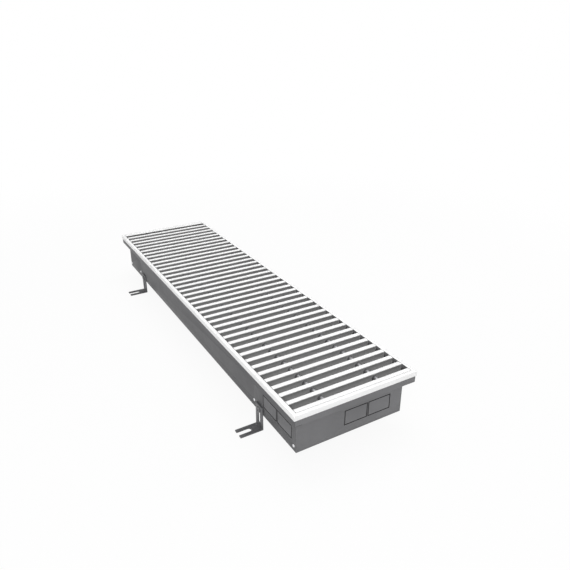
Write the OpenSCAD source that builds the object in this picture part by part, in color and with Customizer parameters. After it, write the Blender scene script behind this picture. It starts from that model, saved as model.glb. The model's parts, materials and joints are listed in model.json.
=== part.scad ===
// Fan-assisted trench convector heater, shown assembled
// X runs across the trough, Y along it from the connection end, Z up from the ground

/* [Trough] */
// Width over the cover frame
unit_w = 260; // [256:1:290]
// Length over the cover frame
unit_l = 1000; // [980:5:1200]
// Height of the rim above the ledge that carries the grille
rim_h = 21; // [20.5:0.5:24]
// Depth of the trough from the ledge to the underside of the floor
body_h = 72; // [71.5:0.5:90]
// Distance from the frame's side face to the side wall
side_ledge_w = 15; // [14:0.5:16]
// Distance from the frame's end face to the end wall
end_ledge_w = 18; // [17:0.5:20]
// Thickness of the folded sheet
sheet_t = 1.2; // [1:0.1:1.5]
// Width of the folded strip along the top of each side rim
hem_w = 3.4; // [2.6:0.1:3.6]
// Distance from the near end of the frame to the near partition
near_chamber_l = 178; // [174:1:190]
// Distance from the far end of the frame to the far partition
far_chamber_l = 122; // [118:1:130]

/* [Wall details] */
// Width of each punched blank
blank_w = 50; // [40:1:52]
// Height of the blanks in the end wall
end_blank_h = 31; // [24:1:32]
// Height of the blanks in the side walls
side_blank_h = 27; // [22:1:30]
// Height of the middle of the blanks above the floor's underside
blank_mid_h = 34; // [32:1:36]
// Width of the slit round each blank
blank_slit = 1.1; // [0.8:0.1:1.4]
// Diameter of a rivet's head
rivet_head_d = 6; // [5:0.5:7]
// Diameter of a rivet's shank
rivet_d = 3.2; // [3:0.1:4]
// Diameter of a hold-down stud's disc
stud_disc_d = 12; // [9:0.5:13]
// Length of a hold-down stud's pin
stud_pin_l = 8; // [5:0.5:9]

/* [Grille seat] */
// Width of the flat rail that overhangs the side wall's inner face
lip_w = 4; // [3:0.5:5]
// Thickness of the rail
rail_t = 1; // [0.8:0.1:1.2]
// Depth of the rail's turned-down edge
rail_edge_h = 5; // [4:0.5:6]
// Width of the rubber strip
strip_w = 13; // [12:0.5:13.5]
// Thickness of the rubber strip
strip_t = 2; // [1.5:0.1:2.2]

/* [Cover frame] */
// Height of the frame's legs
frame_leg_h = 10; // [8:0.5:12]
// Width of the frame's top
frame_top_w = 7; // [6.8:0.1:8]
// Thickness of the frame profile
frame_t = 1.2; // [1:0.1:1.4]

/* [Grille] */
// Wanted distance from bar to bar
bar_pitch_wanted = 24.8; // [23:0.1:28]
// Width of a bar's flat top
bar_top_w = 9; // [8:0.5:13]
// Thickness of a bar's flat top
bar_top_t = 1.6; // [1.4:0.1:2.4]
// Thickness of a bar's web
bar_web_t = 4.5; // [4:0.5:6]
// Width of the bead at a bar's foot
bar_bead_w = 8; // [6:0.5:9]
// How far the flat top reaches past the web on the near side
bar_lip = 0.3; // [0:0.1:1.5]
// Thickness of an end bar's face
end_bar_t = 3.5; // [3:0.5:4]
// Diameter of the tie rods
tie_rod_d = 6; // [5:0.5:7]
// Diameter of the flat heads of the tie rods
rod_head_d = 13; // [11:0.5:14]
// Diameter of the spacer tubes
spacer_d = 10.5; // [9:0.5:11]

/* [Heat exchanger] */
// Height of the fins
fin_h = 44; // [40:1:45]
// Wanted distance from fin to fin
fin_pitch_wanted = 9; // [8:0.5:12]
// Thickness of a fin
fin_t = 0.6; // [0.5:0.1:0.8]
// Radius of a fin's upper corners
fin_corner_r = 8; // [5:0.5:9]
// Thickness of the end plates
plate_t = 1.5; // [1.2:0.1:2]
// Diameter of the water tubes
tube_d = 15; // [14:0.5:16]
// Distance from a fin's side edge to the middle of a water tube
tube_edge = 20; // [18:0.5:22]
// Diameter of the hole in the middle of the end plates
plate_hole_d = 13; // [11:0.5:14]
// Diameter of the connection necks
neck_d = 17; // [17:0.5:18]
// Size of a connection socket across its corners
socket_corner_d = 27; // [26:0.5:28]
// Bore of a connection socket
socket_bore_d = 16.5; // [15:0.5:17]
// Reach of the connections from the end plate
socket_reach = 58; // [54:1:60]
// Diameter of the drain stub
stub_d = 11; // [9:0.5:12]
// Width of the air vent's square block
vent_block_w = 8.5; // [7:0.5:9]
// Length of the vent key's lever
vent_lever_l = 9; // [7:0.5:10]

/* [Fans] */
// Radius of the rounded side of a fan's end plate
fan_r = 35.5; // [35:0.1:35.5]
// Distance from the fan's axis to its flat top
fan_top_h = 29; // [28.5:0.1:29]
// Distance from the fan's axis to its outlet side
fan_outlet_w = 36; // [34:0.5:36]
// Thickness of the front shell
front_shell_t = 2; // [1.5:0.1:2.5]
// Thickness of the end plates and the rear shell
fan_plate_t = 2; // [1.5:0.1:2.5]
// Outer radius of the impeller
impeller_r = 24; // [22:0.5:25]
// Number of blades on the impeller
blade_count = 24; // [18:2:30]
// Depth of an impeller's blades
blade_depth = 5; // [4:0.5:6]
// Diameter of the ring round the motor
ring_d = 57; // [54:0.5:57]
// Diameter of the grey disc at the front of the motor
disc_d = 36; // [33:0.5:38]
// Depth of the ring in front of the end plate
ring_depth = 12; // [10:0.5:13]
// Length of the motor behind the end plate
motor_l = 30; // [25:1:35]
// Diameter of the shaft
shaft_d = 5; // [4:0.5:6]
// Length of the locating pin at the far end of a fan
pin_l = 8; // [6:0.5:9]

/* [Guards] */
// Width of a guard over the fan
guard_w = 81; // [80:0.5:82]
// How much shorter a guard is than a fan
guard_short = 20; // [16:1:35]
// Width of the sloping lip
guard_lip_w = 10; // [8:0.5:11]
// Depth of the vertical flange
guard_flange_h = 16; // [12:0.5:17]
// Thickness of the guard sheet
guard_t = 1; // [0.8:0.1:1]
// Rows of holes along a guard
guard_rows = 32; // [20:1:36]
// Columns of holes across a guard
guard_columns = 8; // [6:1:8]

/* [Boxes] */
// Width of the control box
control_w = 45; // [38:1:48]
// Length of the control box
control_l = 84; // [70:1:86]
// Height of the control box
control_h = 34; // [28:1:38]
// Width of the terminal box beside the motor
terminal_w = 18.3; // [16:0.1:20]
// Height of the terminal box
terminal_h = 30; // [24:1:32]
// Length of the terminal box
terminal_l = 60; // [45:1:70]

/* [Levelling feet] */
// Height of the trough's underside above the ground
ground_gap = 34; // [34:0.5:40]
// Width of a foot
foot_w = 25; // [22:0.5:28]
// Thickness of a foot
foot_t = 3; // [2.5:0.1:3.5]
// Reach of the fork from the side wall
fork_l = 48; // [44:1:56]
// Width of the fork's open slot
fork_slot_w = 10.5; // [9:0.5:12]
// Width of the upright slot
upright_slot_w = 8; // [7.5:0.5:9]
// Distance from the near partition to the middle of a near foot
foot_near_gap = 30; // [24:1:34]
// Distance from the far partition to the middle of a far foot
foot_far_gap = 26; // [20:1:40]
// Diameter of the clamp bolts
bolt_d = 6; // [5:0.5:7]

/* [Hidden] */
$fn = 48;

// Clearance between parts that slide or are lifted, and between a turning part and its seat
lift_fit = 0.3;
turn_fit = 0.05;

// Heights of the trough
floor_bottom_z = ground_gap;
floor_z = floor_bottom_z + sheet_t;
ledge_z = floor_bottom_z + body_h;
ledge_under_z = ledge_z - sheet_t;
rim_z = ledge_z + rim_h;
rail_z = ledge_z + rail_t;
strip_z = rail_z + strip_t;
frame_z = rim_z + frame_t;

// Half sizes of the trough
rim_hw = unit_w / 2 - frame_t - lift_fit;
rim_hl = unit_l / 2 - frame_t - lift_fit;
body_hw = unit_w / 2 - side_ledge_w;
body_hl = unit_l / 2 - end_ledge_w;
inner_hw = body_hw - sheet_t;
inner_hl = body_hl - sheet_t;
rim_in_hw = rim_hw - sheet_t;
rim_in_hl = rim_hl - sheet_t;
lip_hw = inner_hw - lip_w;
lip_hl = inner_hl - lip_w;

// Partitions
partition_near_y = near_chamber_l - unit_l / 2;
partition_far_y = unit_l / 2 - far_chamber_l;
partition_flange_w = 14;
partition_top_z = ledge_under_z - rail_t;
partition_step_z = partition_top_z - rail_edge_h;
partition_step_w = lip_w + 2 * rail_t;

// Blanks, rivets and studs
blank_bridge_w = 2;
blank_tab_w = 4;
blank_z = floor_bottom_z + blank_mid_h;
end_blank_left = 15;
side_blank_inset = 33;
end_blank_x = [for (i = [0, 1]) blank_w / 2 - end_blank_left + i * (blank_w + blank_bridge_w)];
side_blank_y = [for (i = [0, 1])
    side_blank_inset + blank_w / 2 - unit_l / 2 + i * (blank_w + blank_bridge_w)];
rivet_head_t = 1;
partition_rivet_y = [partition_near_y - partition_flange_w / 2,
    partition_far_y + sheet_t + partition_flange_w / 2];
rivet_low_h = 14;
rivet_high_h = 57;
partition_rivet_z = [floor_bottom_z + rivet_low_h, floor_bottom_z + rivet_high_h];
corner_rivet_h = 10;
corner_rivet_z = floor_bottom_z + corner_rivet_h;
corner_rivet_y = inner_hl - partition_flange_w / 2;
floor_rivet_inset = 21;
floor_rivet_x = inner_hw - floor_rivet_inset;
rivet_tail_share = 0.8;
stud_drop = 35;
stud_z = rim_z - stud_drop;
stud_disc_t = 2;
stud_pin_d = 5;
stud_end_inset = 23;
stud_partition_inset = 21;
stud_y = [stud_end_inset - inner_hl, partition_near_y - stud_partition_inset,
    partition_far_y + sheet_t + stud_partition_inset, inner_hl - stud_end_inset];

// Levelling feet
foot_y = [partition_near_y - foot_near_gap, partition_far_y - foot_far_gap];
foot_lap = 17;
foot_top_z = floor_bottom_z + foot_lap;
bolt_h = 7;
bolt_z = floor_bottom_z + bolt_h;
bolt_head_d = 12;
bolt_head_t = 2.5;
nut_t = 4;
slot_sill_h = 6;
slot_low_z = foot_t + slot_sill_h + upright_slot_w / 2;
fork_web_l = 17;
fork_slot_x = body_hw + foot_t + fork_web_l + fork_slot_w / 2;

// Grille
grille_gap = 1;
grille_hw = unit_w / 2 - frame_top_w - grille_gap;
grille_hl = unit_l / 2 - frame_top_w - grille_gap;
bar_top_z = frame_z;
bar_h = bar_top_z - strip_z;
bar_span = 2 * grille_hl - bar_top_w;
bar_count = round(bar_span / bar_pitch_wanted) + 1;
bar_pitch = bar_span / (bar_count - 1);
bar_bead_t = 2;
rod_share = 0.225;
rod_x = rod_share * unit_w;
rod_z = strip_z + bar_h / 2;
rod_head_t = 1.5;

// Fans across the trough, and the terminal box beside them
fan_side_gap = 12.3;
fan_x = fan_side_gap + fan_r - inner_hw;
terminal_side_gap = 1.5;
terminal_x0 = fan_x + fan_outlet_w;
terminal_x1 = terminal_x0 + terminal_w;

// Heat exchanger, which fills the width that the terminal box leaves
plate_margin = 1;
exchanger_gap = 4;
exchanger_side_gap = 2;
fin_x0 = terminal_x1 + terminal_side_gap + plate_margin;
fin_x1 = lip_hw - exchanger_side_gap - plate_margin;
fin_w = fin_x1 - fin_x0;
tube_spacing = fin_w - 2 * tube_edge;
exchanger_x = (fin_x0 + fin_x1) / 2;
exchanger_drop = 5;
exchanger_y0 = partition_near_y + exchanger_gap;
exchanger_y1 = partition_far_y - exchanger_gap;
exchanger_z0 = ledge_z - exchanger_drop - fin_h;
tube_z = exchanger_z0 + fin_h / 2;
tube_x = [exchanger_x - tube_spacing / 2, exchanger_x + tube_spacing / 2];
tube_t = 1;
collar_t = 0.8;
fin_y0 = exchanger_y0 + plate_t;
fin_span = exchanger_y1 - plate_t - fin_y0 - fin_t;
fin_count = round(fin_span / fin_pitch_wanted) - 1;
fin_pitch = fin_span / (fin_count + 1);
notch_side = 9.5;
notch_share = 0.322;
notch_out = neck_d / 2 + notch_side;
notch_in = neck_d / 2 + notch_share * (tube_spacing - neck_d) / 2;
notch_z = tube_z - neck_d;
bracket_share = 0.84;
bracket_hw = bracket_share * fin_w / 2;
bracket_flange_w = 14;
bracket_t = 1.5;
bracket_inset = 12;
socket_l = 20;
neck_cone_l = 12;
neck_l = socket_reach - socket_l;
neck_end_share = 0.86;
stub_reach = 14;
stub_l = 10;
bend_leg_l = 14;
vent_reach = 13;
vent_block_l = 4.5;
vent_base_d = 7;
vent_screw_d = 6;
vent_screw_l = 3;
vent_lever_t = 1.6;
vent_stem_l = 2;
vent_lever_turn = -25;
vent_bore_share = 0.8;
vent_x = tube_x[1] - neck_d / 2;
vent_y = exchanger_y0 - vent_reach;
vent_block_x = vent_x - vent_stem_l;

// Fans
tray_t = 1.2;
tray_z = floor_z + tray_t;
fan_z = tray_z + fan_r;
fan_end_gap = 8;
fan_mid_gap = 14;
fan_room = partition_far_y - partition_near_y;
fan_unit_l = (fan_room - 2 * fan_end_gap - fan_mid_gap) / 2;
fan_near_y = partition_near_y + fan_end_gap;
fan_far_y = fan_near_y + fan_unit_l + fan_mid_gap;
fan_plate_y = ring_depth;
fan_bearing_y = fan_unit_l - pin_l - fan_plate_t;
fan_shell_y = fan_plate_y + fan_plate_t;
fan_shell_l = fan_bearing_y - fan_shell_y;
fan_top_z = fan_z + fan_top_h;
inlet_left_w = 23;
inlet_left_h = 25;
inlet_right_w = 2;
outlet_top_h = 4;
front_shell_r = 33.5;
impeller_gap = 6;
impeller_y0 = fan_shell_y + motor_l + impeller_gap / 2;
impeller_l = fan_bearing_y - impeller_gap - impeller_y0;
impeller_disc_count = 4;
impeller_disc_t = 1.5;
blade_t = 0.8;
blade_turn = 28;
motor_d = 42;
hub_d = 9;
hub_l = 1.6;
disc_recess = 2.5;
step_r = 32;
step_t = 1.5;
boss_d = 12;
boss_l = 4;
plate_corner_r = 6;
bead_r = 1.6;
seam_h = 4;
tray_margin = 3;
pin_d = 4;
pin_x = -24;
pin_z = -14;
shaft_in = 12;

// Bridge between the fans and the box beside the near motor
bridge_w = 40;
bridge_over = 22;
bridge_t = 1;
bridge_y0 = fan_near_y + fan_unit_l - pin_l - fan_plate_t - bridge_over;
bridge_y1 = fan_far_y + fan_plate_y + fan_plate_t + bridge_over;
bridge_x = fan_x + fan_outlet_w / 2;
screw_head_d = 7;
screw_head_t = 0.9;
screw_d = 3;
screw_inset = 9;
terminal_end_gap = 4;
terminal_y0 = fan_near_y + fan_plate_y + terminal_end_gap;
terminal_z1 = tray_z + terminal_h;

// Guards
guard_z = fan_top_z + bridge_t + screw_head_t + lift_fit;
guard_side_gap = 6.8;
guard_x0 = guard_side_gap - inner_hw;
guard_flat_x0 = guard_x0 + guard_lip_w;
guard_x1 = guard_x0 + guard_w;
guard_near_inset = 28;
guard_l = fan_unit_l - guard_short;
guard_far_inset = 2;
guard_near_y0 = fan_near_y + guard_near_inset;
guard_far_y0 = fan_far_y + fan_unit_l - guard_far_inset - guard_l;
guard_slope = 45;
guard_margin = 3;
guard_hole_share = 0.8;
guard_foot_w = 8;
guard_foot_inset = 48;

// Control box
control_offset = 17;
control_gap = 7;
control_x0 = fan_x - control_offset;
control_y1 = partition_near_y - control_gap;
control_y0 = control_y1 - control_l;
control_lid_share = 0.33;
control_lid_h = control_lid_share * control_h;
control_wall = 2;
control_band_z = 3;
control_band_h = 5;
control_band_inset = 1;

// A block between two corners
module block(x0, x1, y0, y1, z0, z1) {
    translate([x0, y0, z0]) cube([x1 - x0, y1 - y0, z1 - z0]);
}

// A cylinder that runs along Y
module rod_y(x, y0, z, d, l) {
    translate([x, y0, z]) rotate([-90, 0, 0]) cylinder(h = l, d = d);
}

// A cylinder that runs along X
module rod_x(x0, y, z, d, l) {
    translate([x0, y, z]) rotate([0, 90, 0]) cylinder(h = l, d = d);
}

// An outline in X and Z, drawn out along Y
module along_y(y0, l) {
    translate([0, y0 + l, 0]) rotate([90, 0, 0]) linear_extrude(height = l) children();
}

// An outline in Y and Z, drawn out along X
module along_x(x0, l) {
    translate([x0, 0, 0]) rotate([90, 0, 90]) linear_extrude(height = l) children();
}

// The children and their mirror image across the trough
module both_sides() {
    children();
    mirror([1, 0, 0]) children();
}

// The children and their mirror image along the trough
module both_ends() {
    children();
    mirror([0, 1, 0]) children();
}

// Holes of every rivet and bolt in the side walls
module side_wall_holes() {
    hole_x = inner_hw - 2 * sheet_t;
    hole_l = 4 * sheet_t;
    both_sides() {
        for (y = partition_rivet_y, z = partition_rivet_z) rod_x(hole_x, y, z, rivet_d, hole_l);
        for (y = [-corner_rivet_y, corner_rivet_y]) rod_x(hole_x, y, corner_rivet_z, rivet_d, hole_l);
        for (y = foot_y) rod_x(hole_x, y, bolt_z, bolt_d, hole_l);
    }
}

// Holes of the rivets in the floor
module floor_holes() {
    for (y = partition_rivet_y) {
        translate([floor_rivet_x, y, floor_bottom_z - sheet_t]) cylinder(h = 4 * sheet_t, d = rivet_d);
    }
}

// Floor, side walls, ledges and side rims of one bent sheet
module trough_channel() {
    hem_l = 2 * rim_in_hl;
    color("#3d3d3f") difference() {
        union() {
            block(-body_hw, body_hw, -inner_hl, inner_hl, floor_bottom_z, floor_z);
            both_sides() {
                block(inner_hw, body_hw, -inner_hl, inner_hl, floor_bottom_z, ledge_z);
                block(inner_hw, rim_hw, -rim_hl, rim_hl, ledge_under_z, ledge_z);
                block(rim_in_hw, rim_hw, -rim_hl, rim_hl, ledge_under_z, rim_z);
                block(rim_hw - hem_w, rim_hw, -hem_l / 2, hem_l / 2, rim_z - sheet_t, rim_z);
            }
        }
        both_sides() for (y = side_blank_y) {
            block(inner_hw - sheet_t, body_hw + sheet_t, y - blank_w / 2, y + blank_w / 2,
                blank_z - side_blank_h / 2, blank_z + side_blank_h / 2);
        }
        side_wall_holes();
        floor_holes();
    }
}

// An end wall at the far end, with its ledge, its rim and the flanges riveted to the side walls
module end_wall() {
    difference() {
        union() {
            block(-body_hw, body_hw, inner_hl, body_hl, floor_bottom_z, ledge_under_z);
            block(-inner_hw, inner_hw, inner_hl, rim_hl, ledge_under_z, ledge_z);
            block(-inner_hw, inner_hw, rim_in_hl, rim_hl, ledge_under_z, rim_z);
            block(-rim_in_hw, rim_in_hw, rim_in_hl, rim_hl, ledge_z, rim_z);
            both_sides() {
                block(inner_hw - sheet_t, inner_hw, inner_hl - partition_flange_w, inner_hl + sheet_t / 2,
                    floor_z, floor_z + partition_flange_w);
            }
        }
        side_wall_holes();
    }
}

// The near end wall, with the windows of its two blanks
module end_wall_near() {
    color("#454547") difference() {
        mirror([0, 1, 0]) end_wall();
        for (x = end_blank_x) {
            block(x - blank_w / 2, x + blank_w / 2, -body_hl - sheet_t, sheet_t - inner_hl,
                blank_z - end_blank_h / 2, blank_z + end_blank_h / 2);
        }
    }
}

// The far end wall, closed
module end_wall_far() {
    color("#454547") end_wall();
}

// Four flat rails on the ledge, each with its inner edge turned down
module seat_rails() {
    color("#4b4b4d") {
        both_sides() {
            block(lip_hw, rim_in_hw, -rim_in_hl, rim_in_hl, ledge_z, rail_z);
            block(lip_hw, lip_hw + rail_t, -lip_hl, lip_hl, ledge_z - rail_edge_h, ledge_z);
        }
        both_ends() {
            block(turn_fit - lip_hw, lip_hw - turn_fit, lip_hl, rim_in_hl, ledge_z, rail_z);
            block(turn_fit - lip_hw, lip_hw - turn_fit, lip_hl, lip_hl + rail_t,
                ledge_z - rail_edge_h, ledge_z);
        }
    }
}

// Four rubber strips against the inside of the rims
module damping_strips() {
    end_hw = rim_in_hw - strip_w - turn_fit;
    color("#1d1d1f") {
        both_sides() block(rim_in_hw - strip_w, rim_in_hw, -rim_in_hl, rim_in_hl, rail_z, strip_z);
        both_ends() block(-end_hw, end_hw, rim_in_hl - strip_w, rim_in_hl, rail_z, strip_z);
    }
}

// A partition across the trough, with its flanges on the side of the end chamber
module partition(y0, flange_y0, flange_y1) {
    step_hw = inner_hw - partition_step_w;
    left_x0 = tube_x[0] - notch_out;
    left_x1 = tube_x[0] + notch_in;
    right_x0 = tube_x[1] - notch_in;
    right_x1 = tube_x[1] + notch_out;
    color("#404042") difference() {
        union() {
            along_y(y0, sheet_t) {
                polygon([[-inner_hw, floor_z], [inner_hw, floor_z], [inner_hw, partition_step_z],
                    [step_hw, partition_step_z], [step_hw, partition_top_z],
                    [right_x1, partition_top_z], [right_x1, notch_z], [right_x0, notch_z],
                    [right_x0, tube_z], [left_x1, tube_z], [left_x1, notch_z], [left_x0, notch_z],
                    [left_x0, partition_top_z], [-step_hw, partition_top_z],
                    [-step_hw, partition_step_z], [-inner_hw, partition_step_z]]);
            }
            both_sides() {
                block(inner_hw - sheet_t, inner_hw, flange_y0, flange_y1, floor_z, partition_step_z);
            }
            block(exchanger_x - fin_w / 4, inner_hw, flange_y0, flange_y1, floor_z, floor_z + sheet_t);
        }
        side_wall_holes();
        floor_holes();
    }
}

module partition_near() {
    partition(partition_near_y, partition_near_y - partition_flange_w, partition_near_y + sheet_t);
}

module partition_far() {
    partition(partition_far_y, partition_far_y, partition_far_y + sheet_t + partition_flange_w);
}

// One punched blank in X and Z with the two small tabs that hold it
module blank_outline(w, h) {
    square([w - 2 * blank_slit, h - 2 * blank_slit], center = true);
    square([blank_tab_w, h], center = true);
}

// Six punched blanks that can be knocked out for the pipes and cables
module knockout_plates() {
    color("#474749") {
        for (x = end_blank_x) {
            along_y(-body_hl, sheet_t) translate([x, blank_z]) blank_outline(blank_w, end_blank_h);
        }
        both_sides() for (y = side_blank_y) {
            along_x(inner_hw, sheet_t) translate([y, blank_z]) blank_outline(blank_w, side_blank_h);
        }
    }
}

// A rivet through two sheets, along X from the wall's outer face inwards
module side_rivet(y, z) {
    grip = 2 * sheet_t;
    rod_x(body_hw, y, z, rivet_head_d, rivet_head_t);
    rod_x(body_hw - grip, y, z, rivet_d - 2 * turn_fit, grip);
    rod_x(body_hw - grip - rivet_head_t, y, z, rivet_head_d * rivet_tail_share, rivet_head_t);
}

// Rivets of the partitions and the end walls
module rivets() {
    grip = 2 * sheet_t;
    color("#c9c9c9") {
        both_sides() {
            for (y = partition_rivet_y, z = partition_rivet_z) side_rivet(y, z);
            for (y = [-corner_rivet_y, corner_rivet_y]) side_rivet(y, corner_rivet_z);
        }
        for (y = partition_rivet_y) translate([floor_rivet_x, y, floor_bottom_z]) {
            translate([0, 0, -rivet_head_t]) cylinder(h = rivet_head_t, d = rivet_head_d);
            cylinder(h = grip, d = rivet_d - 2 * turn_fit);
            translate([0, 0, grip]) cylinder(h = rivet_head_t, d = rivet_head_d * rivet_tail_share);
        }
    }
}

// Eight hold-down studs inside the side walls, each a disc with a short pin
module wall_studs() {
    color("#4a1414") both_sides() for (y = stud_y) {
        rod_x(inner_hw - stud_disc_t, y, stud_z, stud_disc_d, stud_disc_t);
        rod_x(inner_hw - stud_disc_t - stud_pin_l, y, stud_z, stud_pin_d, stud_pin_l);
    }
}

// Four clamp bolts, each with a flat outer head and a nut inside the wall
module foot_bolts() {
    head_x = body_hw + foot_t + 2 * turn_fit;
    color("#58585a") both_sides() for (y = foot_y) {
        rod_x(head_x, y, bolt_z, bolt_head_d, bolt_head_t);
        rod_x(inner_hw, y, bolt_z, bolt_d - 2 * turn_fit, head_x - inner_hw);
        rod_x(inner_hw - nut_t, y, bolt_z, bolt_head_d, nut_t, $fn = 6);
    }
}

// Two Z-shaped supports that carry the exchanger
module exchanger_brackets() {
    x0 = exchanger_x - bracket_hw;
    x1 = exchanger_x + bracket_hw;
    w = bracket_flange_w;
    color("#505052") for (y = [exchanger_y0 + bracket_inset, exchanger_y1 - bracket_inset - 2 * w]) {
        block(x0, x1, y, y + w, exchanger_z0 - bracket_t, exchanger_z0);
        block(x0, x1, y + w - bracket_t, y + w, floor_z, exchanger_z0);
        block(x0, x1, y + w - bracket_t, y + 2 * w, floor_z, floor_z + bracket_t);
    }
}

// A levelling foot on the right side: a slotted upright and an open fork on the ground
module foot_right(y) {
    x0 = body_hw + turn_fit;
    x1 = x0 + foot_t;
    end_x = body_hw + fork_l;
    color("#5c5c5e") difference() {
        union() {
            block(x0, x1, y - foot_w / 2, y + foot_w / 2, 0, foot_top_z);
            block(x0, end_x, y - foot_w / 2, y + foot_w / 2, 0, foot_t);
        }
        translate([fork_slot_x, y, -foot_t]) cylinder(h = 3 * foot_t, d = fork_slot_w);
        block(fork_slot_x, end_x + foot_t, y - fork_slot_w / 2, y + fork_slot_w / 2, -foot_t, 2 * foot_t);
        for (z = [slot_low_z, bolt_z]) rod_x(x0 - foot_t, y, z, upright_slot_w, 3 * foot_t);
        block(x0 - foot_t, x1 + foot_t, y - upright_slot_w / 2, y + upright_slot_w / 2,
            slot_low_z, bolt_z);
    }
}

module foot_near_right() {
    foot_right(foot_y[0]);
}

module foot_far_right() {
    foot_right(foot_y[1]);
}

module foot_near_left() {
    mirror([1, 0, 0]) foot_right(foot_y[0]);
}

module foot_far_left() {
    mirror([1, 0, 0]) foot_right(foot_y[1]);
}

// Section of the frame profile, an inverted U, with its outer face at the given distance
module frame_section(out) {
    polygon([[out, frame_z], [out, frame_z - frame_leg_h], [out - frame_t, frame_z - frame_leg_h],
        [out - frame_t, rim_z], [out - frame_top_w + frame_t, rim_z],
        [out - frame_top_w + frame_t, frame_z - frame_leg_h],
        [out - frame_top_w, frame_z - frame_leg_h], [out - frame_top_w, frame_z]]);
}

// Outline in plan of a side bar of the frame, cut at 45 degrees at both ends
module side_bar_plan(out_w, out_l, w) {
    polygon([[out_w, -out_l], [out_w, out_l], [out_w - w, out_l - w], [out_w - w, w - out_l]]);
}

// Outline in plan of an end bar of the frame
module end_bar_plan(out_w, out_l, w) {
    polygon([[-out_w, out_l], [out_w, out_l], [out_w - w, out_l - w], [w - out_w, out_l - w]]);
}

// The frame's right bar, cut at 45 degrees at both ends
module frame_right() {
    color("white") intersection() {
        along_y(-unit_l / 2, unit_l) frame_section(unit_w / 2);
        linear_extrude(height = frame_z + frame_t) {
            side_bar_plan(unit_w / 2, unit_l / 2, frame_top_w);
        }
    }
}

module frame_left() {
    mirror([1, 0, 0]) frame_right();
}

// The frame's far bar, cut at 45 degrees at both ends
module frame_far() {
    color("white") intersection() {
        along_x(-unit_w / 2, unit_w) frame_section(unit_l / 2);
        linear_extrude(height = frame_z + frame_t) {
            end_bar_plan(unit_w / 2, unit_l / 2, frame_top_w);
        }
    }
}

module frame_near() {
    mirror([0, 1, 0]) frame_far();
}

// Middle of a grille bar along the trough, and of its web
function bar_y(i) = bar_top_w / 2 - grille_hl + i * bar_pitch;
function web_y(i) = bar_y(i) + bar_lip + (bar_web_t - bar_top_w) / 2;

// Holes of the two tie rods through the whole grille
module rod_holes(d) {
    for (x = [-rod_x, rod_x]) rod_y(x, -unit_l / 2, rod_z, d, unit_l);
}

// The bars between the two end bars
module grille_bars() {
    color("white") difference() {
        for (i = [1 : bar_count - 2]) {
            block(-grille_hw, grille_hw, bar_y(i) - bar_top_w / 2, bar_y(i) + bar_top_w / 2,
                bar_top_z - bar_top_t, bar_top_z);
            block(-grille_hw, grille_hw, web_y(i) - bar_web_t / 2, web_y(i) + bar_web_t / 2,
                strip_z, bar_top_z);
            block(-grille_hw, grille_hw, web_y(i) - bar_bead_w / 2, web_y(i) + bar_bead_w / 2,
                strip_z, strip_z + bar_bead_t);
        }
        rod_holes(tie_rod_d + 2 * turn_fit);
    }
}

// The two end bars, each with a full outer face
module grille_end_bars() {
    color("white") both_ends() difference() {
        union() {
            block(-grille_hw, grille_hw, grille_hl - end_bar_t, grille_hl, strip_z, bar_top_z);
            block(-grille_hw, grille_hw, grille_hl - bar_top_w, grille_hl, bar_top_z - bar_top_t,
                bar_top_z);
        }
        rod_holes(tie_rod_d + 2 * turn_fit);
        for (x = [-rod_x, rod_x]) {
            rod_y(x, grille_hl - rod_head_t, rod_z, rod_head_d + 2 * turn_fit, 2 * rod_head_t);
        }
    }
}

// Near and far ends of the gap after a bar, where the spacers sit
function gap_y0(i) = i == 0 ? end_bar_t - grille_hl : web_y(i) + bar_web_t / 2;
function gap_y1(i) = i == bar_count - 2 ? grille_hl - end_bar_t : web_y(i + 1) - bar_web_t / 2;

// Spacer tubes on the tie rods
module grille_spacers() {
    color("#c4c4c4") difference() {
        for (i = [0 : bar_count - 2], x = [-rod_x, rod_x]) {
            rod_y(x, gap_y0(i), rod_z, spacer_d, gap_y1(i) - gap_y0(i));
        }
        rod_holes(tie_rod_d + 2 * turn_fit);
    }
}

// Two tie rods with flat heads let into the end bars
module grille_rods() {
    color("#d8d8d8") for (x = [-rod_x, rod_x]) {
        rod_y(x, -grille_hl, rod_z, tie_rod_d, 2 * grille_hl);
        rod_y(x, -grille_hl, rod_z, rod_head_d, rod_head_t);
        rod_y(x, grille_hl - rod_head_t, rod_z, rod_head_d, rod_head_t);
    }
}

// Outline of a fin with two rounded upper corners
module fin_outline() {
    x0 = exchanger_x - fin_w / 2;
    z1 = exchanger_z0 + fin_h;
    translate([x0, exchanger_z0]) square([fin_w, fin_h - fin_corner_r]);
    translate([x0 + fin_corner_r, exchanger_z0]) square([fin_w - 2 * fin_corner_r, fin_h]);
    for (x = [x0 + fin_corner_r, x0 + fin_w - fin_corner_r]) {
        translate([x, z1 - fin_corner_r]) circle(r = fin_corner_r);
    }
}

// The fins, joined through the collars that grip the water tubes
module fin_pack() {
    bore_d = tube_d + 2 * turn_fit;
    collar_l = fin_span + fin_t;
    color("#2b2b2d") difference() {
        union() {
            for (i = [1 : fin_count]) along_y(fin_y0 + i * fin_pitch, fin_t) fin_outline();
            for (x = tube_x) rod_y(x, fin_y0, tube_z, bore_d + 2 * collar_t, collar_l);
        }
        for (x = tube_x) rod_y(x, fin_y0 - plate_t, tube_z, bore_d, collar_l + 2 * plate_t);
    }
}

// A flat end plate of the exchanger
module exchanger_plate(y0) {
    color("#636365") difference() {
        block(exchanger_x - fin_w / 2 - plate_margin, exchanger_x + fin_w / 2 + plate_margin,
            y0, y0 + plate_t, exchanger_z0, exchanger_z0 + fin_h + plate_margin);
        for (x = tube_x) rod_y(x, y0 - plate_t, tube_z, tube_d + 2 * turn_fit, 3 * plate_t);
        rod_y(exchanger_x, y0 - plate_t, tube_z, plate_hole_d, 3 * plate_t);
    }
}

module exchanger_plate_near() {
    exchanger_plate(exchanger_y0);
}

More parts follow.
